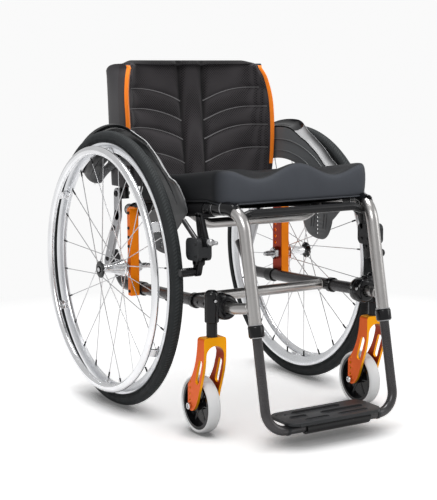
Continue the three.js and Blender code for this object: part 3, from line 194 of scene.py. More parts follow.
# Materials
GRAIN_DEPTH = 0.0002
WEAVE_DEPTH = 0.0003
MESH_DEPTH = 0.0006
TREAD_DEPTH = 0.0009
MOTTLE_SCALE, MOTTLE_DETAIL, GRAIN_DETAIL = 18, 5.0, 2.0
CLOTH_MOTTLE_SCALE, CLOTH_MOTTLE_DETAIL = 14, 4.0
MESH_MOTTLE_SCALE, MESH_MOTTLE_DETAIL = 9, 3.0
MESH_STRETCH, MESH_TURN = (1, 0.35, 1), (0, math.radians(45), 0)
THREADS_PER_WAVE = 6
GUARD_PAINTED_RIM_REACH = (0.279, 0.288)
GUARD_PAINTED_RIM_HEIGHT = (0.15, 0.21)
BLOCKS_ROUND_TYRE = 260
BLOCK_SLANT = 110
RIBS_PER_METRE = 700
CROWN_HALF_WIDTH = (0.0075, 0.009)
CENTRE_LINE_HALF_WIDTH = (0.0006, 0.0014)


def solid_finish(name, colour, shade, roughness, metallic=0.0, grain=900, bump=0.04, stretch=(1, 1, 1),
                 gleam=0.5):
    """Metal, paint or plastic: faint mottling of colour and roughness and a fine surface grain."""
    material, tree, shader = new_material(name, gleam=gleam, metallic=metallic)
    broad = noise(tree, MOTTLE_SCALE, MOTTLE_DETAIL)
    fine = noise(tree, grain, GRAIN_DETAIL, stretch)
    coloured(tree, shader, mixed(tree, ranged(tree, broad, 0, 1), colour, shade))
    tree.links.new(ranged(tree, fine, roughness * 0.85, roughness * 1.2), shader.inputs["Roughness"])
    bumped(tree, shader, fine, bump, GRAIN_DEPTH)
    return material


def mesh_cloth(name, thread, gap, cells):
    """Spacer-mesh upholstery: small dark holes on a diagonal grid, darker where the painted shade in the
    shade attribute is low.
    """
    material, tree, shader = new_material(name, gleam=0.25, roughness=0.88, sheen_weight=0.06,
                                          sheen_roughness=0.5)
    holes = add(tree, "TexVoronoi", "Distance", {"Scale": cells, "Randomness": 0.0,
                                                 "Vector": texture_place(tree, MESH_STRETCH, MESH_TURN)})
    open_share = ranged(tree, holes, 0, 1, 0.22, 0.5)
    broad = ranged(tree, noise(tree, MESH_MOTTLE_SCALE, MESH_MOTTLE_DETAIL), 0.78, 1.12)
    # painted shade: the cloth's colour is multiplied by the shade attribute
    shade = add(tree, "Attribute", "Fac", {}, attribute_name="shade")
    light = math_node(tree, "MULTIPLY", broad, shade)
    grey = add(tree, "CombineColor", "Color", {"Red": light, "Green": light, "Blue": light})
    coloured(tree, shader, mixed(tree, 1.0, mixed(tree, open_share, gap, thread), grey, "MULTIPLY"))
    bumped(tree, shader, open_share, 0.5, MESH_DEPTH)
    return material


def woven(name, colour, shade, threads, bump, sheen, roughness=0.85, gleam=0.3, painted_shade_off_front=False):
    """Plain weave: fine crossing ribs, softly mottled, and if asked much darker where it faces away from the
    front, as painted shade.
    """
    material, tree, shader = new_material(name, gleam=gleam, roughness=roughness, sheen_weight=sheen)
    ribs = [add(tree, "TexWave", "Fac", {"Scale": threads / THREADS_PER_WAVE,
                                         "Vector": texture_place(tree, (1, 1, 1))},
                bands_direction=direction) for direction in ("X", "Y", "Z")]
    weave = math_node(tree, "MAXIMUM", ribs[0], math_node(tree, "MAXIMUM", ribs[1], ribs[2]))
    cloth = mixed(tree, ranged(tree, noise(tree, CLOTH_MOTTLE_SCALE, CLOTH_MOTTLE_DETAIL), 0, 1), colour,
                  shade)
    # painted shade: the sides and top are darkened by how far they turn from the front
    if painted_shade_off_front:
        forward = math_node(tree, "MULTIPLY", facing(tree, "Y"), -1.0)
        light = ranged(tree, forward, 0.14, 1, 0.25, 0.95)
        cloth = add(tree, "VectorMath", "Vector", {0: cloth, "Scale": light}, operation="SCALE")
    coloured(tree, shader, cloth)
    bumped(tree, shader, weave, bump, WEAVE_DEPTH)
    return material


def anodised_painted_sides(name, lit, outer, inner, centre):
    """Anodised aluminium with painted light: painted bright where it faces along the chair, and painted shade
    on the outer and inner sides.
    """
    material, tree, shader = new_material(name, gleam=0.25, roughness=0.36, metallic=0.45)
    x, _, _ = position(tree)
    past_centre = math_node(tree, "SUBTRACT", math_node(tree, "ABSOLUTE", x), centre * MM)
    outside = math_node(tree, "MULTIPLY", outward(tree, x), math_node(tree, "SIGN", past_centre))
    sides = mixed(tree, ranged(tree, outside, 0, 1, -0.1, 0.1), inner, outer)
    # painted light and shade: the colour follows which way a face turns, not the metal
    painted_side_share = ranged(tree, math_node(tree, "ABSOLUTE", facing(tree, "X")), 0, 1, 0.4, 0.9)
    coloured(tree, shader, mixed(tree, painted_side_share, lit, sides))
    return material


def lip_painted_sky_light(name, lower, upper):
    """Moulded lip: painted shade where it faces forward or out and painted sky light where it faces up."""
    material, tree, shader = new_material(name, gleam=0.3, roughness=0.4)
    # painted light: paler as the face turns up
    coloured(tree, shader, mixed(tree, ranged(tree, facing(tree, "Z"), 0, 1, 0.1, 0.55), lower, upper))
    return material


def composite_painted_light(name, outer, rim, inner):
    """Moulded composite: painted shade on its outer side but for a painted pale reflection along the top rim,
    and painted lighter inside.
    """
    material, tree, shader = new_material(name, roughness=0.38)
    x, _, _ = position(tree)
    y, z = from_axle(tree)
    squares = math_node(tree, "ADD", math_node(tree, "MULTIPLY", y, y), math_node(tree, "MULTIPLY", z, z))
    reach = math_node(tree, "SQRT", squares)
    # painted reflection: a pale rim high on the panel
    edge = math_node(tree, "MULTIPLY", ranged(tree, reach, 0, 1, *GUARD_PAINTED_RIM_REACH),
                     ranged(tree, z, 0, 1, *GUARD_PAINTED_RIM_HEIGHT))
    # painted shade on the outer side and painted light on the inner side
    side = ranged(tree, outward(tree, x), 0, 1, -0.2, 0.2)
    coloured(tree, shader, mixed(tree, side, inner, mixed(tree, edge, outer, rim)))
    return material


def tread_rubber(name, colour, shade):
    """Tyre rubber: chevron blocks on the crown and fine ribs on each wall, from the place on the wheel."""
    material, tree, shader = new_material(name, gleam=0.2)
    x, _, _ = position(tree)
    off_middle = math_node(tree, "SUBTRACT", math_node(tree, "ABSOLUTE", x), HALF_TRACK * MM)
    across = math_node(tree, "ABSOLUTE", off_middle)
    angle = math_node(tree, "ARCTAN2", *from_axle(tree))
    turn = math_node(tree, "MULTIPLY", angle, BLOCKS_ROUND_TYRE / math.tau)
    slanted = math_node(tree, "ADD", turn, math_node(tree, "MULTIPLY", across, BLOCK_SLANT))
    blocks = ranged(tree, math_node(tree, "SINE", math_node(tree, "MULTIPLY", slanted, math.tau)), 0, 1,
                    -0.25, 0.1)
    crown = ranged(tree, across, 1, 0, *CROWN_HALF_WIDTH)
    wall_wave = math_node(tree, "SINE", math_node(tree, "MULTIPLY", across, math.tau * RIBS_PER_METRE))
    ribs = ranged(tree, wall_wave, 0, 0.4, 0.2, 0.9)
    centre_line = ranged(tree, across, 0, 1, *CENTRE_LINE_HALF_WIDTH)
    tread = math_node(tree, "MULTIPLY", math_node(tree, "MULTIPLY", blocks, crown), centre_line)
    wall = math_node(tree, "MULTIPLY", ribs, math_node(tree, "SUBTRACT", 1.0, crown))
    height = math_node(tree, "ADD", tread, wall)
    # painted shade: the grooves between blocks and ribs take the darker colour
    coloured(tree, shader, mixed(tree, height, shade, colour))
    tree.links.new(ranged(tree, noise(tree, 60, 4.0), 0.62, 0.78), shader.inputs["Roughness"])
    bumped(tree, shader, height, 0.5, TREAD_DEPTH)
    return material


LOOKS = {
    "titanium": solid_finish("titanium_tube", (0.46, 0.45, 0.44), (0.4, 0.39, 0.385), 0.3, metallic=1.0,
                             grain=1500, bump=0.03, stretch=(1, 0.15, 1)),
    "graphite": solid_finish("graphite_tube", (0.075, 0.072, 0.074), (0.055, 0.053, 0.055), 0.27,
                             metallic=0.6, grain=1400, bump=0.03, gleam=0.3),
    "silver": solid_finish("silver_paint", (0.42, 0.42, 0.43), (0.36, 0.36, 0.37), 0.34, metallic=0.9,
                           grain=1500, bump=0.03),
    "black": solid_finish("black_metal", (0.007, 0.007, 0.008), (0.011, 0.011, 0.012), 0.3, grain=1100,
                          bump=0.05, gleam=0.25),
    "gloss_black": solid_finish("gloss_black_plastic", (0.003, 0.003, 0.004), (0.006, 0.006, 0.007), 0.16,
                                grain=500, bump=0.02, gleam=0.32),
    "plastic": solid_finish("moulded_plastic", (0.022, 0.023, 0.025), (0.016, 0.017, 0.019), 0.42, grain=1600,
                            bump=0.12, gleam=0.3),
    "guard": composite_painted_light("guard_composite_painted_light", (0.03, 0.031, 0.033), (0.3, 0.3, 0.305), (0.115, 0.12, 0.125)),
    "guard_edge": lip_painted_sky_light("guard_edge", (0.02, 0.021, 0.022), (0.3, 0.302, 0.308)),
    "orange_plate": anodised_painted_sides("orange_plate", (1.0, 0.25, 0.0), (0.86, 0.17, 0.0), (0.36, 0.022, 0.0), 0),
    "orange_fork": anodised_painted_sides("orange_fork", (1.0, 0.4, 0.0), (0.78, 0.12, 0.01), (0.4, 0.036, 0.0), CASTER_X),
    "bright": solid_finish("polished_aluminium", (0.86, 0.865, 0.88), (0.78, 0.785, 0.8), 0.2, metallic=1.0,
                           grain=1200, bump=0.02, stretch=(0.2, 1, 1)),
    "rim": solid_finish("rim_aluminium", (0.83, 0.84, 0.86), (0.74, 0.75, 0.77), 0.3, metallic=0.9,
                        grain=1500, bump=0.03),
    "steel": solid_finish("brushed_steel", (0.62, 0.62, 0.63), (0.5, 0.5, 0.51), 0.26, metallic=1.0,
                          grain=1800, bump=0.06, stretch=(1, 0.1, 0.1)),
    "pale_rubber": solid_finish("pale_rubber", (0.78, 0.785, 0.79), (0.72, 0.725, 0.73), 0.6, grain=700,
                                bump=0.12),
    "tread": tread_rubber("tyre_rubber", (0.034, 0.038, 0.039), (0.019, 0.021, 0.022)),
    "mesh": mesh_cloth("spacer_mesh_cloth", (0.044, 0.04, 0.043), (0.005, 0.004, 0.005), 240),
    "cover": woven("cushion_cover", (0.07, 0.076, 0.088), (0.06, 0.065, 0.076), 1500, bump=0.18, sheen=0.03,
                   roughness=0.62, gleam=0.12, painted_shade_off_front=True),
    "webbing": woven("black_webbing", (0.01, 0.01, 0.011), (0.014, 0.014, 0.015), 1100, bump=0.4, sheen=0.0,
                     gleam=0.05),
    "side_cloth": woven("side_panel_cloth", (0.04, 0.037, 0.041), (0.028, 0.026, 0.029), 1700, bump=0.12,
                        sheen=0.12, roughness=0.5),
    "piping": woven("orange_piping", (0.95, 0.235, 0.004), (0.88, 0.2, 0.003), 1500, bump=0.25, sheen=0.2,
                    roughness=0.65),
    "fold_cloth": woven("dark_fold_cloth", (0.022, 0.015, 0.018), (0.014, 0.01, 0.012), 1700, bump=0.12,
                        sheen=0.2, roughness=0.6),
    # seam cord: pale partly for the stitching and partly as a painted highlight
    "seam": woven("seam_cord_with_painted_highlight", (0.21, 0.205, 0.21), (0.15, 0.147, 0.15), 1500, bump=0.25, sheen=0.2),
}


# Mesh building
BEVEL_SEGMENTS = 2
MERGE_DISTANCE = 0.02
BOOLEAN_MERGE_DISTANCE = 0.01
NEARLY_UPRIGHT = 0.9


def mesh_from(points, faces):
    mesh = bpy.data.meshes.new("mesh")
    mesh.from_pydata([place(*p) for p in points], [], faces)
    return mesh


def linked(name, data):
    item = bpy.data.objects.new(name, data)
    bpy.context.scene.collection.objects.link(item)
    return item


def evaluated_mesh(item):
    bpy.context.view_layer.update()
    return bpy.data.meshes.new_from_object(item.evaluated_get(bpy.context.evaluated_depsgraph_get()))


def cleaned(mesh, distance):
    """Merges doubled points and turns every face outward."""
    form = bmesh.new()
    form.from_mesh(mesh)
    bmesh.ops.remove_doubles(form, verts=form.verts, dist=distance * MM)
    bmesh.ops.recalc_face_normals(form, faces=form.faces)
    form.to_mesh(mesh)
    form.free()
    return mesh


def smoothed(mesh, sharp_degrees):
    cleaned(mesh, MERGE_DISTANCE)
    mesh.polygons.foreach_set("use_smooth", [True] * len(mesh.polygons))
    mesh.set_sharp_from_angle(angle=math.radians(sharp_degrees))
    mesh.update()


def build(name, shape, look, body, replaces=None, bevel=0.0, sharp_degrees=SHARP_DEGREES):
    """Puts a piece into the scene, from points and faces or from a finished mesh."""
    mesh = mesh_from(*shape) if isinstance(shape, tuple) else shape
    smoothed(mesh, sharp_degrees)
    piece = linked(name, mesh)
    mesh.materials.clear()
    mesh.materials.append(LOOKS[look])
    if bevel:
        edge = piece.modifiers.new("edges", "BEVEL")
        edge.width = bevel * MM
        edge.segments = BEVEL_SEGMENTS
        edge.limit_method = "ANGLE"
        edge.angle_limit = math.radians(sharp_degrees)
        edge.harden_normals = True
    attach(piece, body)
    if replaces:
        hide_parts(replaces)
    return piece


def mirrored(shape, side):
    points, faces = shape
    return [Vector((p[0] * SIDES[side], p[1], p[2])) for p in points], faces


def side_piece(side, name, shape, look, body="chassis", replaces=None, **finish):
    """A piece of one side; a finished mesh already stands on its side."""
    own_body = body if body in SHARED_BODIES else f"{body}_{side}"
    own_shape = mirrored(shape, side) if isinstance(shape, tuple) else shape
    return build(f"{name}_{side}", own_shape, look, own_body, replaces and f"{replaces}_{side}", **finish)


def bent_path(corners, radii, steps=10):
    """A path that runs straight between corners and round each with its own radius."""
    corners = [Vector(c) for c in corners]
    stations = [corners[0]]
    for before, corner, after, radius in zip(corners, corners[1:], corners[2:], radii):
        into = (corner - before).normalized()
        out = (after - corner).normalized()
        turn = into.angle(out)
        start = corner - into * radius * math.tan(turn / 2)
        normal = (out - into * out.dot(into)).normalized()
        centre = start + normal * radius
        angles = [turn * k / steps for k in range(steps + 1)]
        stations += [centre - normal * radius * math.cos(a) + into * radius * math.sin(a) for a in angles]
    return [*stations, corners[-1]]


def tangents(stations, closed):
    count = len(stations)
    ends = range(count)
    before = [stations[k - 1] if k > 0 or closed else stations[k] for k in ends]
    after = [stations[(k + 1) % count] if k < count - 1 or closed else stations[k] for k in ends]
    return [(b - a).normalized() for a, b in zip(before, after)]


def skin(rings, size, closed_round=True, closed_along=False, capped=True):
    """Faces between rings of points, numbered ring by ring."""
    faces = []
    for ring in range(rings if closed_along else rings - 1):
        start, other = ring * size, (ring + 1) % rings * size
        for k in range(size if closed_round else size - 1):
            step = (k + 1) % size
            faces.append((start + k, start + step, other + step, other + k))
    if capped and not closed_along:
        faces += [tuple(range(size)), tuple(range((rings - 1) * size, rings * size))]
    return faces


def sweep(stations, radius, sides=28, flat=1.0, up=None, closed=False):
    """A round or oval tube along points; radius may be a number or a function of the share along the path."""
    stations = [Vector(s) for s in stations]
    directions = tangents(stations, closed)
    level = Vector(ALONG_Z if abs(directions[0].z) < NEARLY_UPRIGHT else ALONG_X)
    reference = Vector(up) if up else level
    points = []
    for index, (centre, along) in enumerate(zip(stations, directions)):
        across = reference.cross(along).normalized()
        reference = along.cross(across).normalized()
        size = radius(index / (len(stations) - 1)) if callable(radius) else radius
        for k in range(sides):
            angle = math.tau * k / sides
            points.append(centre + across * size * math.cos(angle)
                          + reference * size * flat * math.sin(angle))
    return points, skin(len(stations), sides, closed_along=closed)


def rod(start, end, radius, sides=24):
    return sweep([start, end], radius, sides)


def turned(profile, origin, axis=ALONG_X, segments=72):
    """A turned form about an axis, from (radius, distance along the axis) pairs."""
    origin = Vector(origin)
    axis = Vector(axis).normalized()
    side = Vector(ALONG_Z if abs(axis.z) < NEARLY_UPRIGHT else ALONG_Y)
    first = (side - axis * side.dot(axis)).normalized()
    second = axis.cross(first)
    points = []
    for k in range(segments):
        angle = math.tau * k / segments
        ray = first * math.cos(angle) + second * math.sin(angle)
        points.extend(origin + axis * along + ray * radius for radius, along in profile)
    size = len(profile)
    faces = []
    for k in range(segments):
        start, other = k * size, (k + 1) % segments * size
        faces += [(start + j, other + j, other + j + 1, start + j + 1) for j in range(size - 1)]
    return points, faces


def round_section(radius, tube, steps, offset=0, flat=1.0):
    """The closed round profile of a ring, for turned."""
    angles = [math.tau * k / steps for k in range(steps + 1)]
    return [(radius + tube * math.cos(a), offset + tube * flat * math.sin(a)) for a in angles]


def block(low, high):
    points = [(x, y, z) for x in (low[0], high[0]) for y in (low[1], high[1]) for z in (low[2], high[2])]
    return points, [(0, 1, 3, 2), (4, 6, 7, 5), (0, 4, 5, 1), (2, 3, 7, 6), (0, 2, 6, 4), (1, 5, 7, 3)]


def joined(*parts):
    points, faces = [], []
    for some_points, some_faces in parts:
        start = len(points)
        points.extend(Vector(p) for p in some_points)
        faces.extend(tuple(index + start for index in face) for face in some_faces)
    return points, faces


def solid_with(base, side, cutters=(), meets=()):
    """A mesh worked out by booleans: base minus the cutters, kept where it meets the other shapes."""
    body = linked("body", mesh_from(*mirrored(base, side)))
    helpers = []
    for operation, shapes in (("INTERSECT", meets), ("DIFFERENCE", cutters)):
        for shape in shapes:
            helper = linked("helper", cleaned(mesh_from(*mirrored(shape, side)), BOOLEAN_MERGE_DISTANCE))
            helpers.append(helper)
            step = body.modifiers.new("step", "BOOLEAN")
            step.operation = operation
            step.solver = "EXACT"
            step.object = helper
    cleaned(body.data, BOOLEAN_MERGE_DISTANCE)
    worked = evaluated_mesh(body)
    for item in [body, *helpers]:
        bpy.data.objects.remove(item)
    return worked


def sheet_mesh(loops, depth, bevel, to_frame):
    """A flat plate with rounded edges from outlines in its own plane; later outlines are holes."""
    curve = bpy.data.curves.new("plate", "CURVE")
    curve.dimensions = "2D"
    curve.fill_mode = "BOTH"
    curve.extrude = depth / 2 - bevel
    curve.bevel_depth = bevel
    curve.bevel_resolution = 2
    curve.offset = -bevel
    for loop in loops:
        spline = curve.splines.new("POLY")
        spline.points.add(len(loop) - 1)
        for point, (u, v) in zip(spline.points, loop):
            point.co = (u, v, 0, 1)
        spline.use_cyclic_u = True
    holder = linked("plate", curve)
    mesh = evaluated_mesh(holder)
    bpy.data.objects.remove(holder)
    for vertex in mesh.vertices:
        vertex.co = place(*to_frame(*vertex.co))
    return mesh


def side_sheet(side, loops, middle_x, depth, bevel):
    """An upright plate of one side, from outlines in Y and Z."""
    return sheet_mesh(loops, depth, bevel, lambda u, v, w: ((middle_x + w) * SIDES[side], u, v))


def circle_loop(u, v, radius, sides=28):
    angles = [math.tau * k / sides for k in range(sides)]
    return [(u + radius * math.cos(a), v + radius * math.sin(a)) for a in angles]


def capsule_loop(u1, v1, u2, v2, radius, steps=12):
    heading = math.atan2(v2 - v1, u2 - u1)
    loop = []
    for (u, v), start in (((u2, v2), heading - math.pi / 2), ((u1, v1), heading + math.pi / 2)):
        angles = [start + math.pi * k / steps for k in range(steps + 1)]
        loop += [(u + radius * math.cos(a), v + radius * math.sin(a)) for a in angles]
    return loop


def rounded_loop(u, v, half_u, half_v, corner, steps=8):
    loop = []
    for quarter, (su, sv) in enumerate(((1, 1), (-1, 1), (-1, -1), (1, -1))):
        angles = [math.pi / 2 * (quarter + k / steps) for k in range(steps + 1)]
        centre_u, centre_v = u + su * (half_u - corner), v + sv * (half_v - corner)
        loop += [(centre_u + corner * math.cos(a), centre_v + corner * math.sin(a))
                 for a in angles]
    return loop


def bezier(*controls, steps=12):
    """Points on a curve of three or four controls, without the first control itself."""
    degree = len(controls) - 1
    found = []
    for k in range(1, steps + 1):
        t = k / steps
        weights = [math.comb(degree, j) * (1 - t) ** (degree - j) * t ** j for j in range(degree + 1)]
        found.append(tuple(sum(w * c[axis] for w, c in zip(weights, controls)) for axis in range(2)))
    return found


def prism(loop, from_x, to_x):
    """A straight prism along X from an outline in Y and Z."""
    count = len(loop)
    points = [(x, y, z) for x in (from_x, to_x) for y, z in loop]
    sides = [(k, (k + 1) % count, count + (k + 1) % count, count + k) for k in range(count)]
    return points, [tuple(range(count)), tuple(range(count, 2 * count)), *sides]


def front_prism(loop, from_y, to_y):
    """A straight prism along Y from an outline in X and Z."""
    points, faces = prism(loop, from_y, to_y)
    return [(x, y, z) for y, x, z in points], faces


def bolt(centre, axis, radius, height):
    """A button head with a socket."""
    shares = ((0, 0), (1, 0), (1, 0.35), (0.8, 0.85), (0.5, 1), (0.45, 1), (0.42, 0.4), (0, 0.4))
    return turned([(radius * out, height * up) for out, up in shares], centre, axis, 24)


# Camera
CAMERA_AZIMUTH = math.radians(-31.209)
CAMERA_ELEVATION = math.radians(8.194)
CAMERA_ROLL = math.radians(-0.34)
CAMERA_TARGET = (-124.36, -250, 358.77)
CAMERA_DISTANCE = 2484.75
FOCAL_PIXELS = 1217.1
PICTURE_HEIGHT = 500
SENSOR = 36
FARTHEST_SEEN = 100


def make_camera():
    level = math.cos(CAMERA_ELEVATION)
    back = Vector((math.sin(CAMERA_AZIMUTH) * level, -math.cos(CAMERA_AZIMUTH) * level,
                   math.sin(CAMERA_ELEVATION)))
    right = Vector(ALONG_Z).cross(back).normalized()
    up = back.cross(right)
    rolled_right = right * math.cos(CAMERA_ROLL) + up * math.sin(CAMERA_ROLL)
    rolled_up = up * math.cos(CAMERA_ROLL) - right * math.sin(CAMERA_ROLL)
    lens = bpy.data.cameras.new("camera")
    lens.lens = FOCAL_PIXELS / PICTURE_HEIGHT * SENSOR
    lens.sensor_width = SENSOR
    lens.clip_end = FARTHEST_SEEN
    camera = linked("camera", lens)
    turned_to = Matrix((rolled_right, rolled_up, back)).transposed().to_4x4()
    camera.matrix_world = Matrix.Translation(place(*CAMERA_TARGET) + back * CAMERA_DISTANCE * MM) @ turned_to
    bpy.context.scene.camera = camera


make_camera()
bpy.context.scene.view_settings.view_transform = "Standard"

# Floor and background
PAPER = (0.955, 0.955, 0.955, 1)
SKY_LIGHT = 0.62
FLOOR_REACH = 30
FLOOR_WHITENESS = 2.2
CONTACT_REACH = 0.06


def mixed_shader(tree, factor, first, second, output_kind):
    """Sends a mix of two shaders to the tree's output."""
    shader = add(tree, "MixShader", "Shader", {"Fac": factor, 1: first, 2: second})
    add_output = tree.nodes.new("ShaderNode" + output_kind)
    tree.links.new(shader, add_output.inputs["Surface"])


def paper_material():
    """White to the camera and in reflections, with the object's shadow near it."""
    material = bpy.data.materials.new("studio_floor")
    material.use_nodes = True
    tree = material.node_tree
    tree.nodes.clear()
    spot = add(tree, "TexCoord", "Object", {})
    distance = add(tree, "VectorMath", "Value", {0: spot}, operation="LENGTH")
    far = ranged(tree, distance, 0.12, 1, 0.5, 1.4)
    path = tree.nodes.new("ShaderNodeLightPath").outputs
    mirrored_rays = math_node(tree, "MAXIMUM", path["Is Glossy Ray"], path["Is Transmission Ray"])
    seen = math_node(tree, "MAXIMUM", path["Is Camera Ray"], mirrored_rays)
    contact = add(tree, "AmbientOcclusion", "AO", {"Distance": CONTACT_REACH})
    whiteness = math_node(tree, "MULTIPLY", ranged(tree, seen, 0.9, FLOOR_WHITENESS, 0, 1),
                          ranged(tree, contact, 0.06, 1, 0.4, 0.96))
    matte = add(tree, "BsdfDiffuse", "BSDF", {"Color": whiteness})
    glow = add(tree, "Emission", "Emission", {"Color": PAPER})
    mixed_shader(tree, math_node(tree, "MULTIPLY", far, seen), matte, glow, "OutputMaterial")
    return material


def make_sky():
    """Pale to the camera, and a plain soft light on the object."""
    world = bpy.data.worlds.new("studio")
    bpy.context.scene.world = world
    world.use_nodes = True
    tree = world.node_tree
    tree.nodes.clear()
    seen_sky = add(tree, "Background", "Background", {"Color": PAPER})
    lit_sky = add(tree, "Background", "Background", {"Color": (1, 1, 1, 1), "Strength": SKY_LIGHT})
    path = tree.nodes.new("ShaderNodeLightPath").outputs
    seen = math_node(tree, "MAXIMUM", path["Is Camera Ray"], path["Is Transmission Ray"])
    mixed_shader(tree, seen, lit_sky, seen_sky, "OutputWorld")


def make_floor():
    mesh = bpy.data.meshes.new("studio_floor")
    mesh.from_pydata([(-1, -1, 0), (1, -1, 0), (1, 1, 0), (-1, 1, 0)], [], [(0, 1, 2, 3)])
    mesh.transform(Matrix.Scale(FLOOR_REACH, 4))
    mesh.materials.append(paper_material())
    studio_floor = linked("studio_floor", mesh)
    return studio_floor


# Lamps light the object alone, and the floor gets the sky's light; places and sizes are in metres
LAMPS = {
    "key_light": {"spot": (-2.4, -2.6, 2.9), "aim": (0, 0, 0.35), "size": 1.6, "power": 60},
    "fill_light": {"spot": (2.8, -2.2, 1.8), "aim": (0, 0, 0.4), "size": 1.8, "power": 27},
    "top_light": {"spot": (0.1, 0.1, 3.2), "aim": (0, 0, 0.3), "size": 1.3, "power": 66},
}


def make_lamps(studio_floor):
    all_but_floor = bpy.data.collections.new("floor_lit_by_sky_only")
    all_but_floor.objects.link(studio_floor)
    all_but_floor.collection_objects[0].light_linking.link_state = "EXCLUDE"
    for name, lamp in LAMPS.items():
        light = bpy.data.lights.new(name, "AREA")
        light.shape = "RECTANGLE"
        light.size = light.size_y = lamp["size"]
        light.energy = lamp["power"]
        holder = linked(name, light)
        holder.location = lamp["spot"]
        holder.rotation_mode = "QUATERNION"
        holder.rotation_quaternion = (Vector(lamp["aim"]) - Vector(lamp["spot"])).to_track_quat("-Z", "Y")
        holder.light_linking.receiver_collection = all_but_floor


floor = make_floor()
make_sky()
make_lamps(floor)

# Frame tubes
RAIL_JOG_RADIUS, FRONT_BEND_RADIUS = 70, 52
LOWER_TOP_Y, LOWER_TOP_Z = 138, 312
LOWER_KNEE_Y, LOWER_KNEE_Z = 88, 245
LOWER_BEND_RADIUS = 46
STUB_START_Y, STUB_BEND_Y, STUB_END_Y, STUB_END_Z = -352.3, -388, -427, 269
STUB_RADIUS, STUB_BEND_RADIUS = 11, 25
WELD_RADIUS, WELD_BEAD, WELD_LIFT = 11.2, 1.6, 5
WELD_SPOT = Vector((LEG_X + 1.5, -421.5, 268.5))
WELD_AXIS = Vector((16, 36, -6)).normalized()
BORE_DEPTH = 150
PLUG_PROFILE = ((0, 0), (TUBE_RADIUS + 0.4, 0), (TUBE_RADIUS + 0.4, 2.4), (TUBE_RADIUS - 2, 4), (0, 4.2))
RAIL_REAR_AXIS = (0, 1, -0.093)
RIVET_YS = (-140, -165, -190, -265, -290)
RIVET_RADIUS, RIVET_HEIGHT, RIVET_SINK = 3.4, 1.6, 0.6
COLLAR_Y, COLLAR_HALF, COLLAR_RADIUS, COLLAR_CHAMFER = -238, 7, 16, 1.4
CLAMP_RADIUS, CLAMP_HALF, CLAMP_CHAMFER = 15.2, 13, 1
SLEEVE_FRONT, SLEEVE_REAR = -372, -300
SLEEVE_WALL = 1.4
BAND_YS, BAND_HALF, BAND_RISE = (-343, -321), 1, 0.5
BEND_CAP_PROFILE = ((0, 4.4), (5, 4.2), (7.2, 2.6), (7.6, 0), (0, 0))
BEND_CAP_SPOT = (LEG_X + 6.5, CORNER_Y + 14, CORNER_Z + 1.5)
BEND_CAP_AXIS = (0.62, 0.1, 0.78)
GUSSET_LOOP = ((-374, 447), (-348, 445), (-352, 452), (-378, 455))
GUSSET_INSET, GUSSET_DEPTH, GUSSET_BEVEL = 4, 4, 0.8


def frame_path():
    corners = [(RAIL_X, RAIL_REAR_Y, RAIL_REAR_Z), (RAIL_X, JOG_Y, rail_z(JOG_Y)),
               (LEG_X, CORNER_Y, CORNER_Z), LEG_SHOWN_END]
    return bent_path(corners, [RAIL_JOG_RADIUS, FRONT_BEND_RADIUS], 14)


def lower_path():
    corners = [(RAIL_X, LOWER_TOP_Y, LOWER_TOP_Z), (RAIL_X, LOWER_KNEE_Y, LOWER_KNEE_Z),
               (RAIL_X, LOWER_REAR_Y, LOWER_REAR_Z), (RAIL_X, LOWER_FRONT_Y, LOWER_FRONT_Z)]
    return bent_path(corners, [LOWER_BEND_RADIUS, LOWER_BEND_RADIUS], 12)


def path_between(path, front_y, rear_y, steps):
    """The part of a tube's path that lies between two places along the chair."""
    found = []
    for k in range(steps + 1):
        y = rear_y + (front_y - rear_y) * k / steps
        for before, after in zip(path, path[1:]):
            if min(before[1], after[1]) <= y <= max(before[1], after[1]):
                share = (y - before[1]) / (after[1] - before[1] or 1)
                found.append(Vector(before) + (Vector(after) - Vector(before)) * share)
                break
    return found


def ring_on_rail(y, half_length, radius, height_at, chamfer=CLAMP_CHAMFER):
    """A collar round a tube that runs along Y."""
    start, end = [Vector((RAIL_X, spot, height_at(spot))) for spot in (y - half_length, y + half_length)]
    length = (end - start).length
    inner = TUBE_RADIUS + SMALL_GAP / 2
    profile = [(inner, 0), (radius - chamfer, 0), (radius, chamfer), (radius, length - chamfer),
               (radius - chamfer, length), (inner, length), (inner, 0)]
    return turned(profile, start, end - start, 40)


def frame_pieces(side):
    rail = sweep(frame_path(), TUBE_RADIUS, 32)
    stub_corners = [(RAIL_X, STUB_START_Y, lower_z(STUB_START_Y)),
                    (RAIL_X, STUB_BEND_Y, lower_z(STUB_BEND_Y)), (LEG_X, STUB_END_Y, STUB_END_Z)]
    stub = sweep(bent_path(stub_corners, [STUB_BEND_RADIUS]), STUB_RADIUS)
    weld = turned(round_section(WELD_RADIUS, WELD_BEAD, 10), WELD_SPOT + WELD_AXIS * WELD_LIFT, WELD_AXIS, 40)
    bore = rod(LEG_SHOWN_END - LEG_UP * BORE_DEPTH / 4, LEG_SHOWN_END + LEG_UP * BORE_DEPTH,
               FOOT_TUBE + SMALL_GAP, 32)
    side_piece(side, "frame_tube", solid_with(rail, side, [bore]), "titanium", replaces="side_frame")
    side_piece(side, "frame_stub", solid_with(stub, side, [bore]), "titanium")
    side_piece(side, "frame_weld", weld, "titanium")
    side_piece(side, "lower_tube", sweep(lower_path(), TUBE_RADIUS, 32), "graphite", replaces="lower_rail")
    plug = turned(PLUG_PROFILE, (RAIL_X, RAIL_REAR_Y, RAIL_REAR_Z), RAIL_REAR_AXIS, 32)
    side_piece(side, "rail_plug", plug, "plastic")
    rivets = [bolt((RAIL_X + TUBE_RADIUS - RIVET_SINK, y, lower_z(y)), ALONG_X, RIVET_RADIUS, RIVET_HEIGHT)
              for y in RIVET_YS]
    side_piece(side, "rail_rivets", joined(*rivets), "black")
    collar = ring_on_rail(COLLAR_Y, COLLAR_HALF, COLLAR_RADIUS, lower_z, COLLAR_CHAMFER)
    side_piece(side, "rail_ring", collar, "gloss_black", replaces="rail_collar")


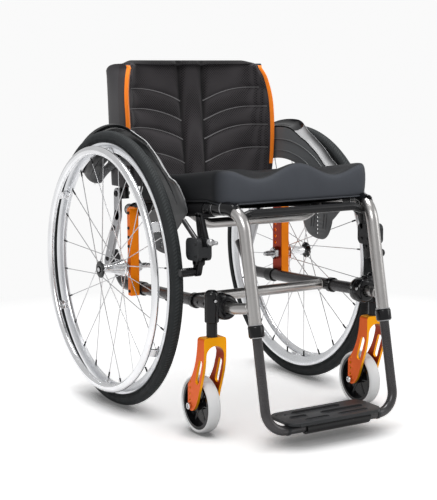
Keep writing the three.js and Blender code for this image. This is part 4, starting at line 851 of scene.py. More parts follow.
def front_bend_pieces(side):
    sleeve = sweep(path_between(frame_path(), SLEEVE_FRONT, SLEEVE_REAR, 14), TUBE_RADIUS + SLEEVE_WALL, 32)
    side_piece(side, "rail_sleeve", sleeve, "gloss_black")
    band_radius = TUBE_RADIUS + SLEEVE_WALL + BAND_RISE
    bands = [sweep(path_between(frame_path(), y - BAND_HALF, y + BAND_HALF, 2), band_radius, 32)
             for y in BAND_YS]
    side_piece(side, "sleeve_rings", joined(*bands), "silver")
    side_piece(side, "bend_cap", turned(BEND_CAP_PROFILE, BEND_CAP_SPOT, BEND_CAP_AXIS, 28), "gloss_black")
    gusset = side_sheet(side, [GUSSET_LOOP], LEG_X - GUSSET_INSET, GUSSET_DEPTH, GUSSET_BEVEL)
    side_piece(side, "gusset", gusset, "gloss_black")


# Tubes across the frame; each end and bend is on the right, and the left gets its mirror image
LOWER_CROSS_Y, LOWER_CROSS_HALF, LOWER_CROSS_RADIUS = -212, 160.2, 11
CROSS_WELD_BEAD, CROSS_WELD_GAP = 1.5, 1.4
UPPER_CROSS_Y, UPPER_CROSS_RADIUS, UPPER_CROSS_BEND_RADIUS = -205, 10.4, 46
UPPER_CROSS_END_X, UPPER_CROSS_END_DROP = -161, 8
UPPER_CROSS_BEND_X, UPPER_CROSS_BEND_DROP = -126, 33
SEAT_BAR_Y, SEAT_BAR_DROP, SEAT_BAR_RADIUS, SEAT_BAR_BEND_RADIUS = -372, 13, 8.4, 39
SEAT_BAR_END_X, SEAT_BAR_END_DROP, SEAT_BAR_BEND_X = -149, 8, -125
SEAT_BOLT_X, SEAT_BOLT_FORWARD, SEAT_BOLT_DROP, SEAT_BOLT_RADIUS, SEAT_BOLT_HEIGHT = 131, 8, 3, 3.6, 2.4


def opposite(point):
    return Vector((-point[0], point[1], point[2]))


def across_path(end, bend, radius, steps):
    return bent_path([end, bend, opposite(bend), opposite(end)], [radius, radius], steps)


def cross_pieces():
    low = (-LOWER_CROSS_HALF, LOWER_CROSS_Y, lower_z(LOWER_CROSS_Y))
    weld_x = RAIL_X - TUBE_RADIUS - CROSS_WELD_GAP
    bead = round_section(LOWER_CROSS_RADIUS, CROSS_WELD_BEAD, 10)
    welds = [turned(bead, (sign * weld_x, low[1], low[2]), ALONG_X, 40)
             for sign in SIDES.values()]
    lower = joined(rod(low, opposite(low), LOWER_CROSS_RADIUS, 32), *welds)
    build("lower_cross_bar", lower, "titanium", "chassis", "lower_cross_tube")
    high_z = rail_z(UPPER_CROSS_Y)
    upper = across_path((UPPER_CROSS_END_X, UPPER_CROSS_Y, high_z - UPPER_CROSS_END_DROP),
                        (UPPER_CROSS_BEND_X, UPPER_CROSS_Y, high_z - UPPER_CROSS_BEND_DROP),
                        UPPER_CROSS_BEND_RADIUS, 12)
    build("upper_cross_bar", sweep(upper, UPPER_CROSS_RADIUS, 32), "titanium", "chassis", "upper_cross_tube")
    bar_z = rail_z(SEAT_BAR_Y) - SEAT_BAR_DROP
    bar = across_path((SEAT_BAR_END_X, SEAT_BAR_Y, bar_z - SEAT_BAR_END_DROP),
                      (SEAT_BAR_BEND_X, SEAT_BAR_Y, bar_z), SEAT_BAR_BEND_RADIUS, 10)
    bolts = [bolt((sign * SEAT_BOLT_X, SEAT_BAR_Y - SEAT_BOLT_FORWARD, bar_z - SEAT_BOLT_DROP), FORWARD,
                  SEAT_BOLT_RADIUS, SEAT_BOLT_HEIGHT) for sign in SIDES.values()]
    build("front_bar", joined(sweep(bar, SEAT_BAR_RADIUS), *bolts), "black", "chassis", "front_seat_bar")


for side_name in SIDES:
    frame_pieces(side_name)
    front_bend_pieces(side_name)
cross_pieces()


# Axle plates, receivers and quick-release axles
PLATE_LOW_Z, PLATE_HIGH_Z = 236, 428
WEB_X, WEB_Y = (187, 193), (-5.5, 16)
FLANGE_X, FLANGE_Y = (187, 208), (-20, -5)
PLATE_CUT_X = (180, 220)
ROW_Y, ROW_START_Z, ROW_STEP, ROW_COUNT, ROW_RADIUS = 5.3, 322, 15, 7, 4.4
RECEIVER_ROOM = 11.3
AXLE_CLAMP_Y = -2
PLATE_SCREW_SPOT, PLATE_SCREW_ZS = (208, -12.5), (246, 345, 365, 385, 418)
PLATE_SCREW_RADIUS, PLATE_SCREW_HEIGHT = 3.6, 2.6
NUT_FACE_X, NUT_SIDES = 174.8, 6
NUT_PROFILE = ((6.6, 0), (12.5, 0), (14.8, 2.2), (14.8, 11.9), (11, 11.9), (11, 33), (6.6, 33), (6.6, 0))
AXLE_INNER_END = 151
AXLE_PROFILE = ((0, 0), (3.4, 0), (4.7, 1.4), (4.7, 6), (6.2, 9), (6.2, 119), (5.8, 119), (5.8, 111),
                (0, 111))
BALL_RADIUS, BALL_REACH, BALL_PLACE = 1.9, 5, 10.5
CAP_FACE = 28
BUTTON_PROFILE = ((0, 0), (5, 0), (5, 8), (4.2, 9), (0, 9.3))
BUTTON_SINK = 2


def axle_pieces(side):
    axle = (0, WHEEL_RADIUS)
    web = block((WEB_X[0], WEB_Y[0], PLATE_LOW_Z), (WEB_X[1], WEB_Y[1], PLATE_HIGH_Z))
    flange = block((FLANGE_X[0], FLANGE_Y[0], PLATE_LOW_Z), (FLANGE_X[1], FLANGE_Y[1], PLATE_HIGH_Z))
    room = [rod((PLATE_CUT_X[0], *axle), (PLATE_CUT_X[1], *axle), RECEIVER_ROOM, 32),
            sweep(frame_path(), TUBE_RADIUS + SMALL_GAP, 32),
            sweep(lower_path(), TUBE_RADIUS + SMALL_GAP, 32)]
    row = [(ROW_Y, ROW_START_Z + k * ROW_STEP) for k in range(ROW_COUNT)]
    holes = [rod((PLATE_CUT_X[0], *spot), (PLATE_CUT_X[1], *spot), ROW_RADIUS) for spot in row]
    upright = solid_with(flange, side, room)
    side_piece(side, "axle_upright", upright, "orange_plate", replaces="axle_plate", bevel=1.2)
    side_piece(side, "axle_web", solid_with(web, side, [*holes, *room]), "orange_plate", bevel=0.5)
    clamps = [ring_on_rail(AXLE_CLAMP_Y, CLAMP_HALF, CLAMP_RADIUS, height_at)
              for height_at in (rail_z, lower_z)]
    side_piece(side, "axle_clamps", joined(*clamps), "black")
    screws = [bolt((*PLATE_SCREW_SPOT, z), ALONG_X, PLATE_SCREW_RADIUS, PLATE_SCREW_HEIGHT)
              for z in PLATE_SCREW_ZS]
    side_piece(side, "axle_screws", joined(*screws), "black")
    nut = turned(NUT_PROFILE, (NUT_FACE_X, *axle), ALONG_X, NUT_SIDES)
    side_piece(side, "axle_nut", nut, "steel", replaces="axle_receiver", bevel=0.7)
    half_turn = [math.pi * k / 8 for k in range(9)]
    ball_profile = [(BALL_RADIUS * math.sin(a), -BALL_RADIUS * math.cos(a)) for a in half_turn]
    balls = [turned(ball_profile, (AXLE_INNER_END + BALL_PLACE, BALL_REACH * math.cos(a),
                                   WHEEL_RADIUS + BALL_REACH * math.sin(a)), ALONG_X, 14)
             for a in (math.pi / 4 * k for k in (1, 3, 5, 7))]
    shaft = joined(turned(AXLE_PROFILE, (AXLE_INNER_END, *axle), ALONG_X, 40), *balls)
    side_piece(side, "axle_shaft", shaft, "steel", replaces="quick_axle")
    button = turned(BUTTON_PROFILE, (HALF_TRACK + CAP_FACE - BUTTON_SINK, *axle), ALONG_X, 32)
    side_piece(side, "release_button", button, "steel", "axle_button", replaces="axle_button")


# Rear brackets with the back's hinges
BRACKET_X, BRACKET_HALF_WIDTH, BRACKET_DEPTH, BRACKET_BEVEL = 188.8, 13, 8, 1.2
BRACKET_FOOT, BRACKET_KNEE, BRACKET_TOP = (130, 292), (76, 404), (HINGE_Y, HINGE_Z)
BRACKET_BOLT_X = 192.6
BRACKET_BOLTS = (((HINGE_Y, HINGE_Z), 7, 4), ((92, 373), 6.5, 4.4), ((126, 300), 6, 4))
HINGE_PIN_X, HINGE_PIN_RADIUS = (160.5, 186), 4.4


def bracket_pieces(side):
    arms = [side_sheet(side, [capsule_loop(*low, *high, BRACKET_HALF_WIDTH)], BRACKET_X, BRACKET_DEPTH,
                       BRACKET_BEVEL)
            for low, high in ((BRACKET_FOOT, BRACKET_KNEE), (BRACKET_KNEE, BRACKET_TOP))]
    side_piece(side, "bracket_lower", arms[0], "silver", replaces="rear_bracket")
    side_piece(side, "bracket_upper", arms[1], "silver")
    pin = rod((HINGE_PIN_X[0], HINGE_Y, HINGE_Z), (HINGE_PIN_X[1], HINGE_Y, HINGE_Z), HINGE_PIN_RADIUS)
    bolts = [bolt((BRACKET_BOLT_X, *spot), ALONG_X, radius, height) for spot, radius, height in BRACKET_BOLTS]
    side_piece(side, "bracket_bolts", joined(pin, *bolts), "black")


for side_name in SIDES:
    axle_pieces(side_name)
for side_name in SIDES:
    bracket_pieces(side_name)


# Casters
FORK_DROP = FORK_TOP - CASTER_RADIUS
FORK_HALF_WIDTH, FORK_HALF_GAP, FORK_CORNER = 25.5, 20, 6
FORK_NECK_HALF = 12.5
FORK_LOW_Z, FORK_ARCH_Z = 20, 168.5
FORK_CUT_HALF, FORK_CUT_FRONT, FORK_CUT_REAR = 30, 60, 110
SLOT_RADIUS = 6.6
HOLE_COUNT, HOLE_STEP, HOLE_BACK, HOLE_RADIUS, AXLE_HOLE_RADIUS = 5, 12.5, 0.5, 2.7, 4.8
STEM_START_Z = 203
STEM_PROFILE = ((0, 0), (11, 0), (11, 30), (10.4, 30.6), (7, 30.6), (7, 81), (0, 81))
CASTER_NUT_PROFILE = ((0, 0), (6.2, 0), (6.8, 1), (6.8, 4), (6, 5), (4, 5), (3.6, 3.4), (0, 3.4))
CASTER_NUT_X, CASTER_SHAFT_HALF, CASTER_SHAFT_RADIUS = 25.8, 25.6, 4.5
CORE_RING = ((44, -12.4), (50, -12), (50, 12), (44, 12.4), (42.6, 6), (42.6, -6), (44, -12.4))
CORE_HUB = ((5.4, -15.5), (9.5, -15.5), (11.8, -13), (11.8, 13), (9.5, 15.5), (5.4, 15.5), (5.4, -15.5))
CORE_WEB = ((10, -1.5), (43, -1.5), (43, 1.5), (10, 1.5), (10, -1.5))
ARM_COUNT, ARM_STATIONS, ARM_WIDTH, ARM_WAIST = 6, (10.5, 16, 28, 38, 43.6), 6.4, 2.2
TREAD_INNER, TREAD_SEAT, TREAD_HALF_WIDTH = 50.4, 11, 14
BARREL_PROFILE = ((8, 234), (13.6, 234), (14.5, 235), (14.5, 286), (13.6, 291), (11.4, 295), (7.6, 297.4),
                  (3, 298), (0, 298), (0, 286), (8, 286), (8, 234))
HOUSING_LENGTH, HOUSING_START = 38, 16
HOUSING_HALF_PROFILE = ((12.8, 0), (18, 0), (22, 1.6), (25, 5.6), (26, 11))
SEAM_PROFILE = ((26.15, 0), (26.4, 0.5), (26.4, 2), (26.15, 2.5), (25, 2.5), (25, 0), (26.15, 0))
SEAM_PLACE = Vector((0, 18, -0.8))
LOWER_AXIS = (0, 1, -0.0417)
BRIDGE_LIFT, BRIDGE_HALF_LENGTH, BRIDGE_HALF_HEIGHT, BRIDGE_CORNER = 6, 15, 24, 11
BRIDGE_INSET, BRIDGE_DEPTH, BRIDGE_BEVEL = 14, 26, 4
HOUSING_SCREWS = (((CASTER_X + 3, CASTER_Y - 20, 17), FORWARD, 3.2, 2),
                  ((147.8, CASTER_Y - 9, 6), INWARD, 3.4, 1.4), ((147.8, CASTER_Y + 9, 6), INWARD, 3.4, 1.4))


def on_fork(out_share, down_share):
    """A place on the fork's side, as shares of the trail back and of the height down from its top."""
    return CASTER_Y + CASTER_TRAIL * out_share, FORK_TOP - FORK_DROP * down_share


def fork_outline():
    """The blade from the side: front edge down, round the axle and up the rear edge."""
    front, rear = CASTER_Y - FORK_NECK_HALF, CASTER_Y + FORK_NECK_HALF
    loop = [(front, FORK_TOP)]
    loop += bezier(loop[-1], (front - CASTER_TRAIL * 0.06, on_fork(0, 0.45)[1]), on_fork(-0.1, 0.5),
                   on_fork(0.3, 0.86), steps=16)
    loop += bezier(loop[-1], on_fork(0.5, 1.02), on_fork(0.9, 1.14), on_fork(1.17, 1), steps=14)
    loop += [on_fork(1.16, 0.7)]
    loop += bezier(loop[-1], on_fork(0.9, 0.6), on_fork(0.36, 0.45), (rear, FORK_TOP), steps=16)
    return loop


def fork_front():
    """The fork from the front: rounded shoulders outside and an arch between the blades."""
    quarter = [math.pi / 2 * k / 8 for k in range(9)]
    shoulder_x, shoulder_z = FORK_HALF_WIDTH - FORK_CORNER, FORK_TOP - FORK_CORNER
    left = [(-shoulder_x - FORK_CORNER * math.cos(a), shoulder_z + FORK_CORNER * math.sin(a))
            for a in quarter]
    right = [(shoulder_x + FORK_CORNER * math.sin(a), shoulder_z + FORK_CORNER * math.cos(a))
             for a in quarter]
    arch = [(FORK_HALF_GAP * math.cos(a), FORK_ARCH_Z + FORK_HALF_GAP * math.sin(a))
            for a in (math.pi * k / 20 for k in range(21))]
    loop = [(-FORK_HALF_WIDTH, FORK_LOW_Z), *left, *right, (FORK_HALF_WIDTH, FORK_LOW_Z),
            (FORK_HALF_GAP, FORK_LOW_Z), *arch, (-FORK_HALF_GAP, FORK_LOW_Z)]
    return [(CASTER_X + x, z) for x, z in loop]


def through_fork(y, z, radius, half_length):
    return rod((CASTER_X - half_length, y, z), (CASTER_X + half_length, y, z), radius)


def fork_pieces(side):
    axle_y = CASTER_Y + CASTER_TRAIL
    reach = FORK_CUT_HALF + 10
    slot = prism(capsule_loop(*on_fork(0.06, 0.35), *on_fork(0.36, 0.62), SLOT_RADIUS, 10), CASTER_X - reach,
                 CASTER_X + reach)
    holes = [through_fork(axle_y - HOLE_BACK * k, CASTER_RADIUS + HOLE_STEP * k,
                          HOLE_RADIUS if k else AXLE_HOLE_RADIUS, reach) for k in range(HOLE_COUNT)]
    blades = prism(fork_outline(), CASTER_X - FORK_CUT_HALF, CASTER_X + FORK_CUT_HALF)
    arch = front_prism(fork_front(), CASTER_Y - FORK_CUT_FRONT, CASTER_Y + FORK_CUT_REAR)
    fork = solid_with(blades, side, [slot, *holes], [arch])
    side_piece(side, "fork_blades", fork, "orange_fork", "caster_fork", replaces="caster_fork", bevel=1.1)
    stem = turned(STEM_PROFILE, (CASTER_X, CASTER_Y, STEM_START_Z), ALONG_Z, 40)
    side_piece(side, "swivel_stem", stem, "black", "caster_fork")
    nuts = [turned(CASTER_NUT_PROFILE, (CASTER_X + axis[0] * CASTER_NUT_X, axle_y, CASTER_RADIUS), axis, 32)
            for axis in (ALONG_X, INWARD)]
    shaft = through_fork(axle_y, CASTER_RADIUS, CASTER_SHAFT_RADIUS, CASTER_SHAFT_HALF)
    side_piece(side, "caster_bolt", joined(*nuts, shaft), "steel", "caster_fork", replaces="caster_axle")


def caster_wheel_pieces(side):
    centre = Vector((CASTER_X, CASTER_Y + CASTER_TRAIL, CASTER_RADIUS))
    arms = []
    for k in range(ARM_COUNT):
        angle = math.tau * k / ARM_COUNT
        ray = Vector((0, math.cos(angle), math.sin(angle)))
        arms.append(sweep([centre + ray * r for r in ARM_STATIONS],
                          lambda share: ARM_WIDTH - ARM_WAIST * math.sin(math.pi * share), 20, 0.62, ALONG_X))
    rings = [turned(CORE_RING, centre), turned(CORE_HUB, centre, segments=48), turned(CORE_WEB, centre)]
    side_piece(side, "caster_core_fine", joined(*rings, *arms), "gloss_black", "caster_wheel",
               replaces="caster_core")
    depth = CASTER_RADIUS - TREAD_INNER
    crown = [(TREAD_INNER + depth * (0.3 + 0.7 * math.sin(a) ** 0.8), -TREAD_HALF_WIDTH * math.cos(a))
             for a in (math.pi * k / 22 for k in range(23))]
    profile = [(TREAD_INNER, -TREAD_SEAT), *crown, (TREAD_INNER, TREAD_SEAT), (TREAD_INNER, -TREAD_SEAT)]
    tread = turned(profile, centre, segments=96)
    side_piece(side, "caster_tread", tread, "pale_rubber", "caster_wheel", replaces="caster_tyre")


def housing_pieces(side):
    z = lower_z(CASTER_Y)
    start_y = CASTER_Y - HOUSING_START
    start = Vector((RAIL_X, start_y, lower_z(start_y)))
    barrel = turned(BARREL_PROFILE, (CASTER_X, CASTER_Y, 0), ALONG_Z, 48)
    far_half = [(radius, HOUSING_LENGTH - along) for radius, along in reversed(HOUSING_HALF_PROFILE)]
    clamp = turned([*HOUSING_HALF_PROFILE, *far_half, HOUSING_HALF_PROFILE[0]], start, LOWER_AXIS, 64)
    side_piece(side, "caster_barrel", joined(barrel, clamp), "gloss_black", replaces="caster_housing",
               bevel=0.6)
    side_piece(side, "clamp_seam", turned(SEAM_PROFILE, start + SEAM_PLACE, LOWER_AXIS, 64), "plastic")
    loop = rounded_loop(CASTER_Y, z + BRIDGE_LIFT, BRIDGE_HALF_LENGTH, BRIDGE_HALF_HEIGHT, BRIDGE_CORNER)
    bridge = side_sheet(side, [loop], CASTER_X - BRIDGE_INSET, BRIDGE_DEPTH, BRIDGE_BEVEL)
    side_piece(side, "housing_bridge", bridge, "gloss_black")
    screws = [bolt((x, y, z + lift), axis, radius, height)
              for (x, y, lift), axis, radius, height in HOUSING_SCREWS]
    side_piece(side, "housing_screws", joined(*screws), "steel")


for side_name in SIDES:
    fork_pieces(side_name)
    caster_wheel_pieces(side_name)
    housing_pieces(side_name)


# Rear wheels
TYRE_HALF_WIDTH = 12.5
BEAD_HALF_WIDTH, BEAD_LIFT = 8, 0.3
RIM_OUTER, RIM_INNER = 273, 253
RIM_HALF_PROFILE = ((RIM_INNER, 2.5), (RIM_INNER + 0.9, 4.2), (261, 8.6), (264.5, 10.2), (266.5, 11),
                    (RIM_OUTER - 0.8, 11), (RIM_OUTER, 10.2))
WALL_RIBS, WALL_RIB_RADIUS = ((279.5, 12.0), (277.3, 11.0)), 0.45
HANDRIM_RADIUS, HANDRIM_TUBE, HANDRIM_FLATNESS = 257, 9.3, 0.8
HANDRIM_X = HALF_TRACK + 34.5 - 1.2
TAB_COUNT, TAB_PHASE, TAB_HALF_WIDTH = 6, 0.06, 10
TAB_OUTLINE = ((246.4, 252.8), (250.8, 259.9), (253.4, 263.6), (HANDRIM_X - 4, 258.6), (HANDRIM_X - 4, 255.4),
               (254.2, 259.4), (252.2, 256.6), (248.8, 251.4))
TAB_SCREW_PROFILE = ((0, 0), (3.6, 0), (3.2, 2), (2, 2.6), (0, 2.6))
TAB_SCREW_SPOT, TAB_SCREW_AXIS = (250.1, 0, 253.6), (0.85, 0, -0.53)
HUB_PROFILE = ((7, -30), (12.5, -30), (13.4, -29), (13.4, -27), (18.6, -26.4), (19.4, -25.6), (19.4, -23.6),
               (17.4, -22), (15.6, -14), (11.6, 0), (9.4, 10), (8.4, 20), (8.4, CAP_FACE), (7, CAP_FACE),
               (7, -30))
CAP_PROFILE = ((7.9, 0), (17.8, 0), (18.4, 0.5), (18.2, 2.4), (17, 3.8), (12, 4.4), (9, 4.4), (7.9, 4),
               (7.9, 0))
SPOKE_COUNT, SPOKE_RADIUS, SPOKE_CROSS = 24, 1.0, 0.42
SPOKE_SIDE_STEP = SPOKE_RADIUS * 1.1
SPOKE_SINK, NIPPLE_LENGTH, NIPPLE_RADIUS = 0.4, 13, 1.9
INNER_FLANGE_RADIUS, INNER_FLANGE_X = 16.5, -24.75
OUTER_FLANGE_RADIUS, OUTER_FLANGE_X = 14.5, CAP_FACE + 1


def tyre_pieces(side, centre):
    middle = WHEEL_RADIUS - TYRE_HALF_WIDTH
    bead = RIM_OUTER + BEAD_LIFT
    angles = [-math.pi / 5 + math.pi * 7 / 5 * k / 28 for k in range(29)]
    crown = [(middle + TYRE_HALF_WIDTH * math.sin(a), -TYRE_HALF_WIDTH * math.cos(a)) for a in angles]
    profile = [(bead, -BEAD_HALF_WIDTH), *crown, (bead, BEAD_HALF_WIDTH), (bead, -BEAD_HALF_WIDTH)]
    side_piece(side, "tyre", turned(profile, centre, segments=180), "tread", "rear_wheel",
               replaces="rear_tyre")
    ribs = [turned(round_section(radius, WALL_RIB_RADIUS, 8, sign * x), centre, segments=144)
            for sign in (-1, 1) for radius, x in WALL_RIBS]
    side_piece(side, "tyre_ribs", joined(*ribs), "tread", "rear_wheel")
    inner_half = [(radius, -x) for radius, x in RIM_HALF_PROFILE]
    rim = turned([*inner_half, *reversed(RIM_HALF_PROFILE), inner_half[0]], centre, segments=180)
    side_piece(side, "rim", rim, "rim", "rear_wheel", replaces="rear_rim", sharp_degrees=24)


def handrim_pieces(side, centre):
    section = round_section(HANDRIM_RADIUS, HANDRIM_TUBE, 24, flat=HANDRIM_FLATNESS)
    ring = turned(section, (HANDRIM_X, 0, WHEEL_RADIUS), segments=180)
    side_piece(side, "hand_ring", ring, "bright", "rear_wheel", replaces="handrim")
    tab = front_prism(TAB_OUTLINE, -TAB_HALF_WIDTH, TAB_HALF_WIDTH)
    screw = turned(TAB_SCREW_PROFILE, TAB_SCREW_SPOT, TAB_SCREW_AXIS, 16)
    hub_axis = Vector((0, 0, centre.z))
    for name, shape, look, bevel in (("hand_ring_tabs", tab, "bright", 0.5),
                                     ("hand_ring_screws", screw, "steel", 0)):
        copies = []
        for k in range(TAB_COUNT):
            turn = Matrix.Rotation(math.tau * (k + TAB_PHASE) / TAB_COUNT, 4, "X")
            copies.append(([hub_axis + turn @ Vector(p) for p in shape[0]], shape[1]))
        side_piece(side, name, joined(*copies), look, "rear_wheel", bevel=bevel)


def on_wheel(radius, angle, x):
    return Vector((x, radius * math.cos(angle), WHEEL_RADIUS + radius * math.sin(angle)))


def hub_pieces(side, centre):
    wires, nipples = [], []
    for k in range(SPOKE_COUNT):
        inner = k % 2 == 0
        rim_angle = math.tau * (k + 0.5) / SPOKE_COUNT
        lean = SPOKE_CROSS if (k // 2) % 2 == 0 else -SPOKE_CROSS
        spoke_x = HALF_TRACK + math.copysign(SPOKE_SIDE_STEP, lean)
        flange_x = spoke_x + (INNER_FLANGE_X if inner else OUTER_FLANGE_X)
        foot = on_wheel(INNER_FLANGE_RADIUS if inner else OUTER_FLANGE_RADIUS, rim_angle + lean * 2, flange_x)
        head = on_wheel(RIM_INNER - SPOKE_SINK, rim_angle, spoke_x)
        wires.append(rod(foot, head, SPOKE_RADIUS, 10))
        nipples.append(rod(head + (foot - head).normalized() * NIPPLE_LENGTH, head, NIPPLE_RADIUS, 12))
    hub = turned(HUB_PROFILE, centre, segments=64)
    side_piece(side, "wheel_hub", hub, "bright", "rear_wheel", replaces="rear_hub")
    side_piece(side, "spokes", joined(*wires), "steel", "rear_wheel")
    side_piece(side, "nipples", joined(*nipples), "black", "rear_wheel")
    cap = turned(CAP_PROFILE, (HALF_TRACK + CAP_FACE, 0, WHEEL_RADIUS), segments=64)
    side_piece(side, "hub_disc", cap, "gloss_black", "rear_wheel", replaces="hub_cap")


for side_name in SIDES:
    wheel_centre = Vector((HALF_TRACK, 0, WHEEL_RADIUS))
    tyre_pieces(side_name, wheel_centre)
    handrim_pieces(side_name, wheel_centre)
    hub_pieces(side_name, wheel_centre)


# Footrest: the bow, and the plate that turns about it
FOOT_TUBE_HIDDEN = 60
FOOT_BEND_RADIUS = 42
BUMPER_X, BUMPER_WALL = (112, 106), 1.2
PLATE_THICKNESS, PLATE_BEVEL = 6, 1.2
PLATE_Z = FOOT_Z + 10.9
PLATE_TOP = PLATE_Z + PLATE_THICKNESS
PLATE_X, PLATE_Y = -3, FOOT_Y + 20
PLATE_HALF_WIDTH, PLATE_HALF_DEPTH, PLATE_CORNER = 113, 46, 26
PLATE_HOLES, PLATE_HOLE_RADIUS = ((-102, 50), (-87, 41)), 2.6
PLATE_OVALS = ((-62, 40, 44, 7.5), (-84, -58, 18, 6.5), (-8, 78, 18, 7.5), (-66, -20, -7, 5), (14, 74, -7, 5))
OVAL_RIM, OVAL_RIM_SINK, OVAL_DEPTH, OVAL_BEVEL = 1.3, 0.2, 1, 0.2
HOLDER_PROFILE = ((10.6, -77), (13.4, -77), (14.2, -76), (14.2, 76), (13.4, 77), (10.6, 77), (10.6, -77))
HOLDER_SHIFT = 10
RIB_X, RIB_FORWARD, RIB_LIFT, RIB_RADIUS = (-96, 92), 24, 1, 2.4
CLAMP_DROP = 7.6
FOOT_CLAMP_PROFILE = ((10.2, 0), (14.4, 0), (15.8, 1.4), (15.8, 19), (15.2, 21), (13.6, 22.8), (12.7, 22.8),
                      (12.7, 8), (10.2, 8), (10.2, 0))
LOWER_WASHER_PROFILE = ((10.2, 0), (13.6, 0), (13.6, 1.6), (10.2, 1.6), (10.2, 0))
UPPER_WASHER_PROFILE = ((12.7, 0), (14.8, 0), (14.8, 1.4), (12.7, 1.4), (12.7, 0))
WASHER_PLACES = (-1.8, 22.9)
LUG_Y, LUG_LIFT, LUG_RADIUS, LUG_HEIGHT_SHARE = (13, 24.5), 5.75, 4.6, 1.3


def footrest_pieces():
    corner = Vector((LEG_X, FOOT_Y, FOOT_Z))
    path = across_path(LEG_END + LEG_UP * FOOT_TUBE_HIDDEN, corner, FOOT_BEND_RADIUS, 16)
    build("footrest_bow", sweep(path, FOOT_TUBE, 32), "graphite", "footrest", "footrest_tube")
    ends = [[(sign * x, FOOT_Y, FOOT_Z) for x in BUMPER_X] for sign in SIDES.values()]
    bumpers = [rod(*end, FOOT_TUBE + BUMPER_WALL, 28) for end in ends]
    build("footrest_bumpers", joined(*bumpers), "plastic", "footrest")


def footplate_pieces():
    loops = [rounded_loop(PLATE_X, PLATE_Y, PLATE_HALF_WIDTH, PLATE_HALF_DEPTH, PLATE_CORNER)]
    loops += [circle_loop(x, FOOT_Y + y, PLATE_HOLE_RADIUS, 16) for x, y in PLATE_HOLES]
    middle_z = PLATE_Z + PLATE_THICKNESS / 2
    plate = sheet_mesh(loops, PLATE_THICKNESS, PLATE_BEVEL, lambda u, v, w: (u, v, middle_z + w))
    build("foot_plate", plate, "plastic", "footplate", "footplate")
    for index, (x0, x1, y, half) in enumerate(PLATE_OVALS):
        loop = capsule_loop(x0, FOOT_Y + y, x1, FOOT_Y + y, half, 10)
        rim = sweep([(u, v, PLATE_TOP - OVAL_RIM_SINK) for u, v in loop], OVAL_RIM, 10, closed=True)
        inset = sheet_mesh([loop], OVAL_DEPTH, OVAL_BEVEL, lambda u, v, w: (u, v, PLATE_TOP + w))
        build(f"plate_rim_{index}", rim, "plastic", "footplate")
        build(f"plate_inset_{index}", inset, "webbing", "footplate")
    holder = turned(HOLDER_PROFILE, (PLATE_X + HOLDER_SHIFT, FOOT_Y, FOOT_Z), segments=48)
    build("plate_holder", holder, "gloss_black", "footplate")
    rib_ends = [(x, FOOT_Y - RIB_FORWARD, PLATE_Z + RIB_LIFT) for x in RIB_X]
    build("plate_front_rib", rod(*rib_ends, RIB_RADIUS, 16), "plastic", "footplate")


def foot_clamp_pieces(side):
    base = LEG_SHOWN_END - LEG_UP * CLAMP_DROP
    clamp = turned(FOOT_CLAMP_PROFILE, base, LEG_UP, 48)
    side_piece(side, "height_clamp", clamp, "gloss_black", replaces="footrest_clamp")
    washers = [turned(profile, base + LEG_UP * spot, LEG_UP, 48)
               for profile, spot in zip((LOWER_WASHER_PROFILE, UPPER_WASHER_PROFILE), WASHER_PLACES)]
    side_piece(side, "clamp_washer", joined(*washers), "silver")
    lug_ends = [(LEG_X, LEG_SHOWN_END.y + y, LEG_SHOWN_END.z + LUG_LIFT) for y in LUG_Y]
    side_piece(side, "clamp_screw", sweep(lug_ends, LUG_RADIUS, 24, LUG_HEIGHT_SHARE, ALONG_Z), "black")


footrest_pieces()
footplate_pieces()
for side_name in SIDES:
    foot_clamp_pieces(side_name)


# Side guards; an edge point is an angle round the wheel, from straight back, and a radius
GUARD_EDGE = ((40, 297), (95, 297), (109, 285), (118, 281), (128, 277), (134, 281), (139, 294), (146, 296),
              (154, 290))
LIP_START, LIP_JOINT, LIP_STOP = 40, 101, 146
LIP_FADE_IN, LIP_FADE_OUT = (LIP_START - 4, LIP_START + 16), (-LIP_STOP - 2, -LIP_STOP + 12)
LIP_REACH, LIP_REAR_REACH, LIP_REACH_CHANGE = 13, 32, (-112, -92)
LIP_RISE, LIP_LEAST_RISE, LIP_LEAST_REACH, LIP_ROOT = 14, 1, 0.4, 3
LIP_THICKNESS, LIP_X = 2, 198
PANEL_START, PANEL_STOP, PANEL_INNER_RADIUS = math.radians(40), math.radians(150.5), 222
PANEL_X, PANEL_DEPTH, PANEL_BEVEL = 199.5, 3, 0.7
PANEL_CURVES = (((-190, 351), (-166, 347), 12), ((-134, 345), (-112, 356), 8), ((-96, 366), (-81, 408), 12))
PANEL_HOLE_Y, PANEL_HOLE_Z, PANEL_HOLE_STEP, PANEL_HOLE_RADIUS = -146, 359, 9, 2.7
PANEL_SLOT_RADIUS, PANEL_SLOT_ANGLES, PANEL_SLOT_HALF = 246, (61, 66), 2.6
RIDGE_RADII, RIDGE_XS = (240, 266), (201.2, 197.8)
RIDGE_START, RIDGE_SWEEP, RIDGE_SIZE, RIDGE_END_SIZE = 44, 100, 1.3, 0.1
RIB_YS, RIB_LEAN, RIB_Z, RIB_SIZE = (-178, -168, -132, -122), 4, (372, 405), 1.2
POST_YS, POST_X = (-176, -124), 187.6
POST_PROFILE = ((0, 0), (8, 0), (8, 9.6), (6.5, 11), (0, 11))


def guard_edge(angle):
    """Radius of the panel's top edge round the wheel's centre."""
    degrees = math.degrees(angle)
    for (a0, r0), (a1, r1) in zip(GUARD_EDGE, GUARD_EDGE[1:]):
        if degrees <= a1:
            return r0 + (r1 - r0) * eased(degrees, a0, a1)
    return GUARD_EDGE[-1][1]


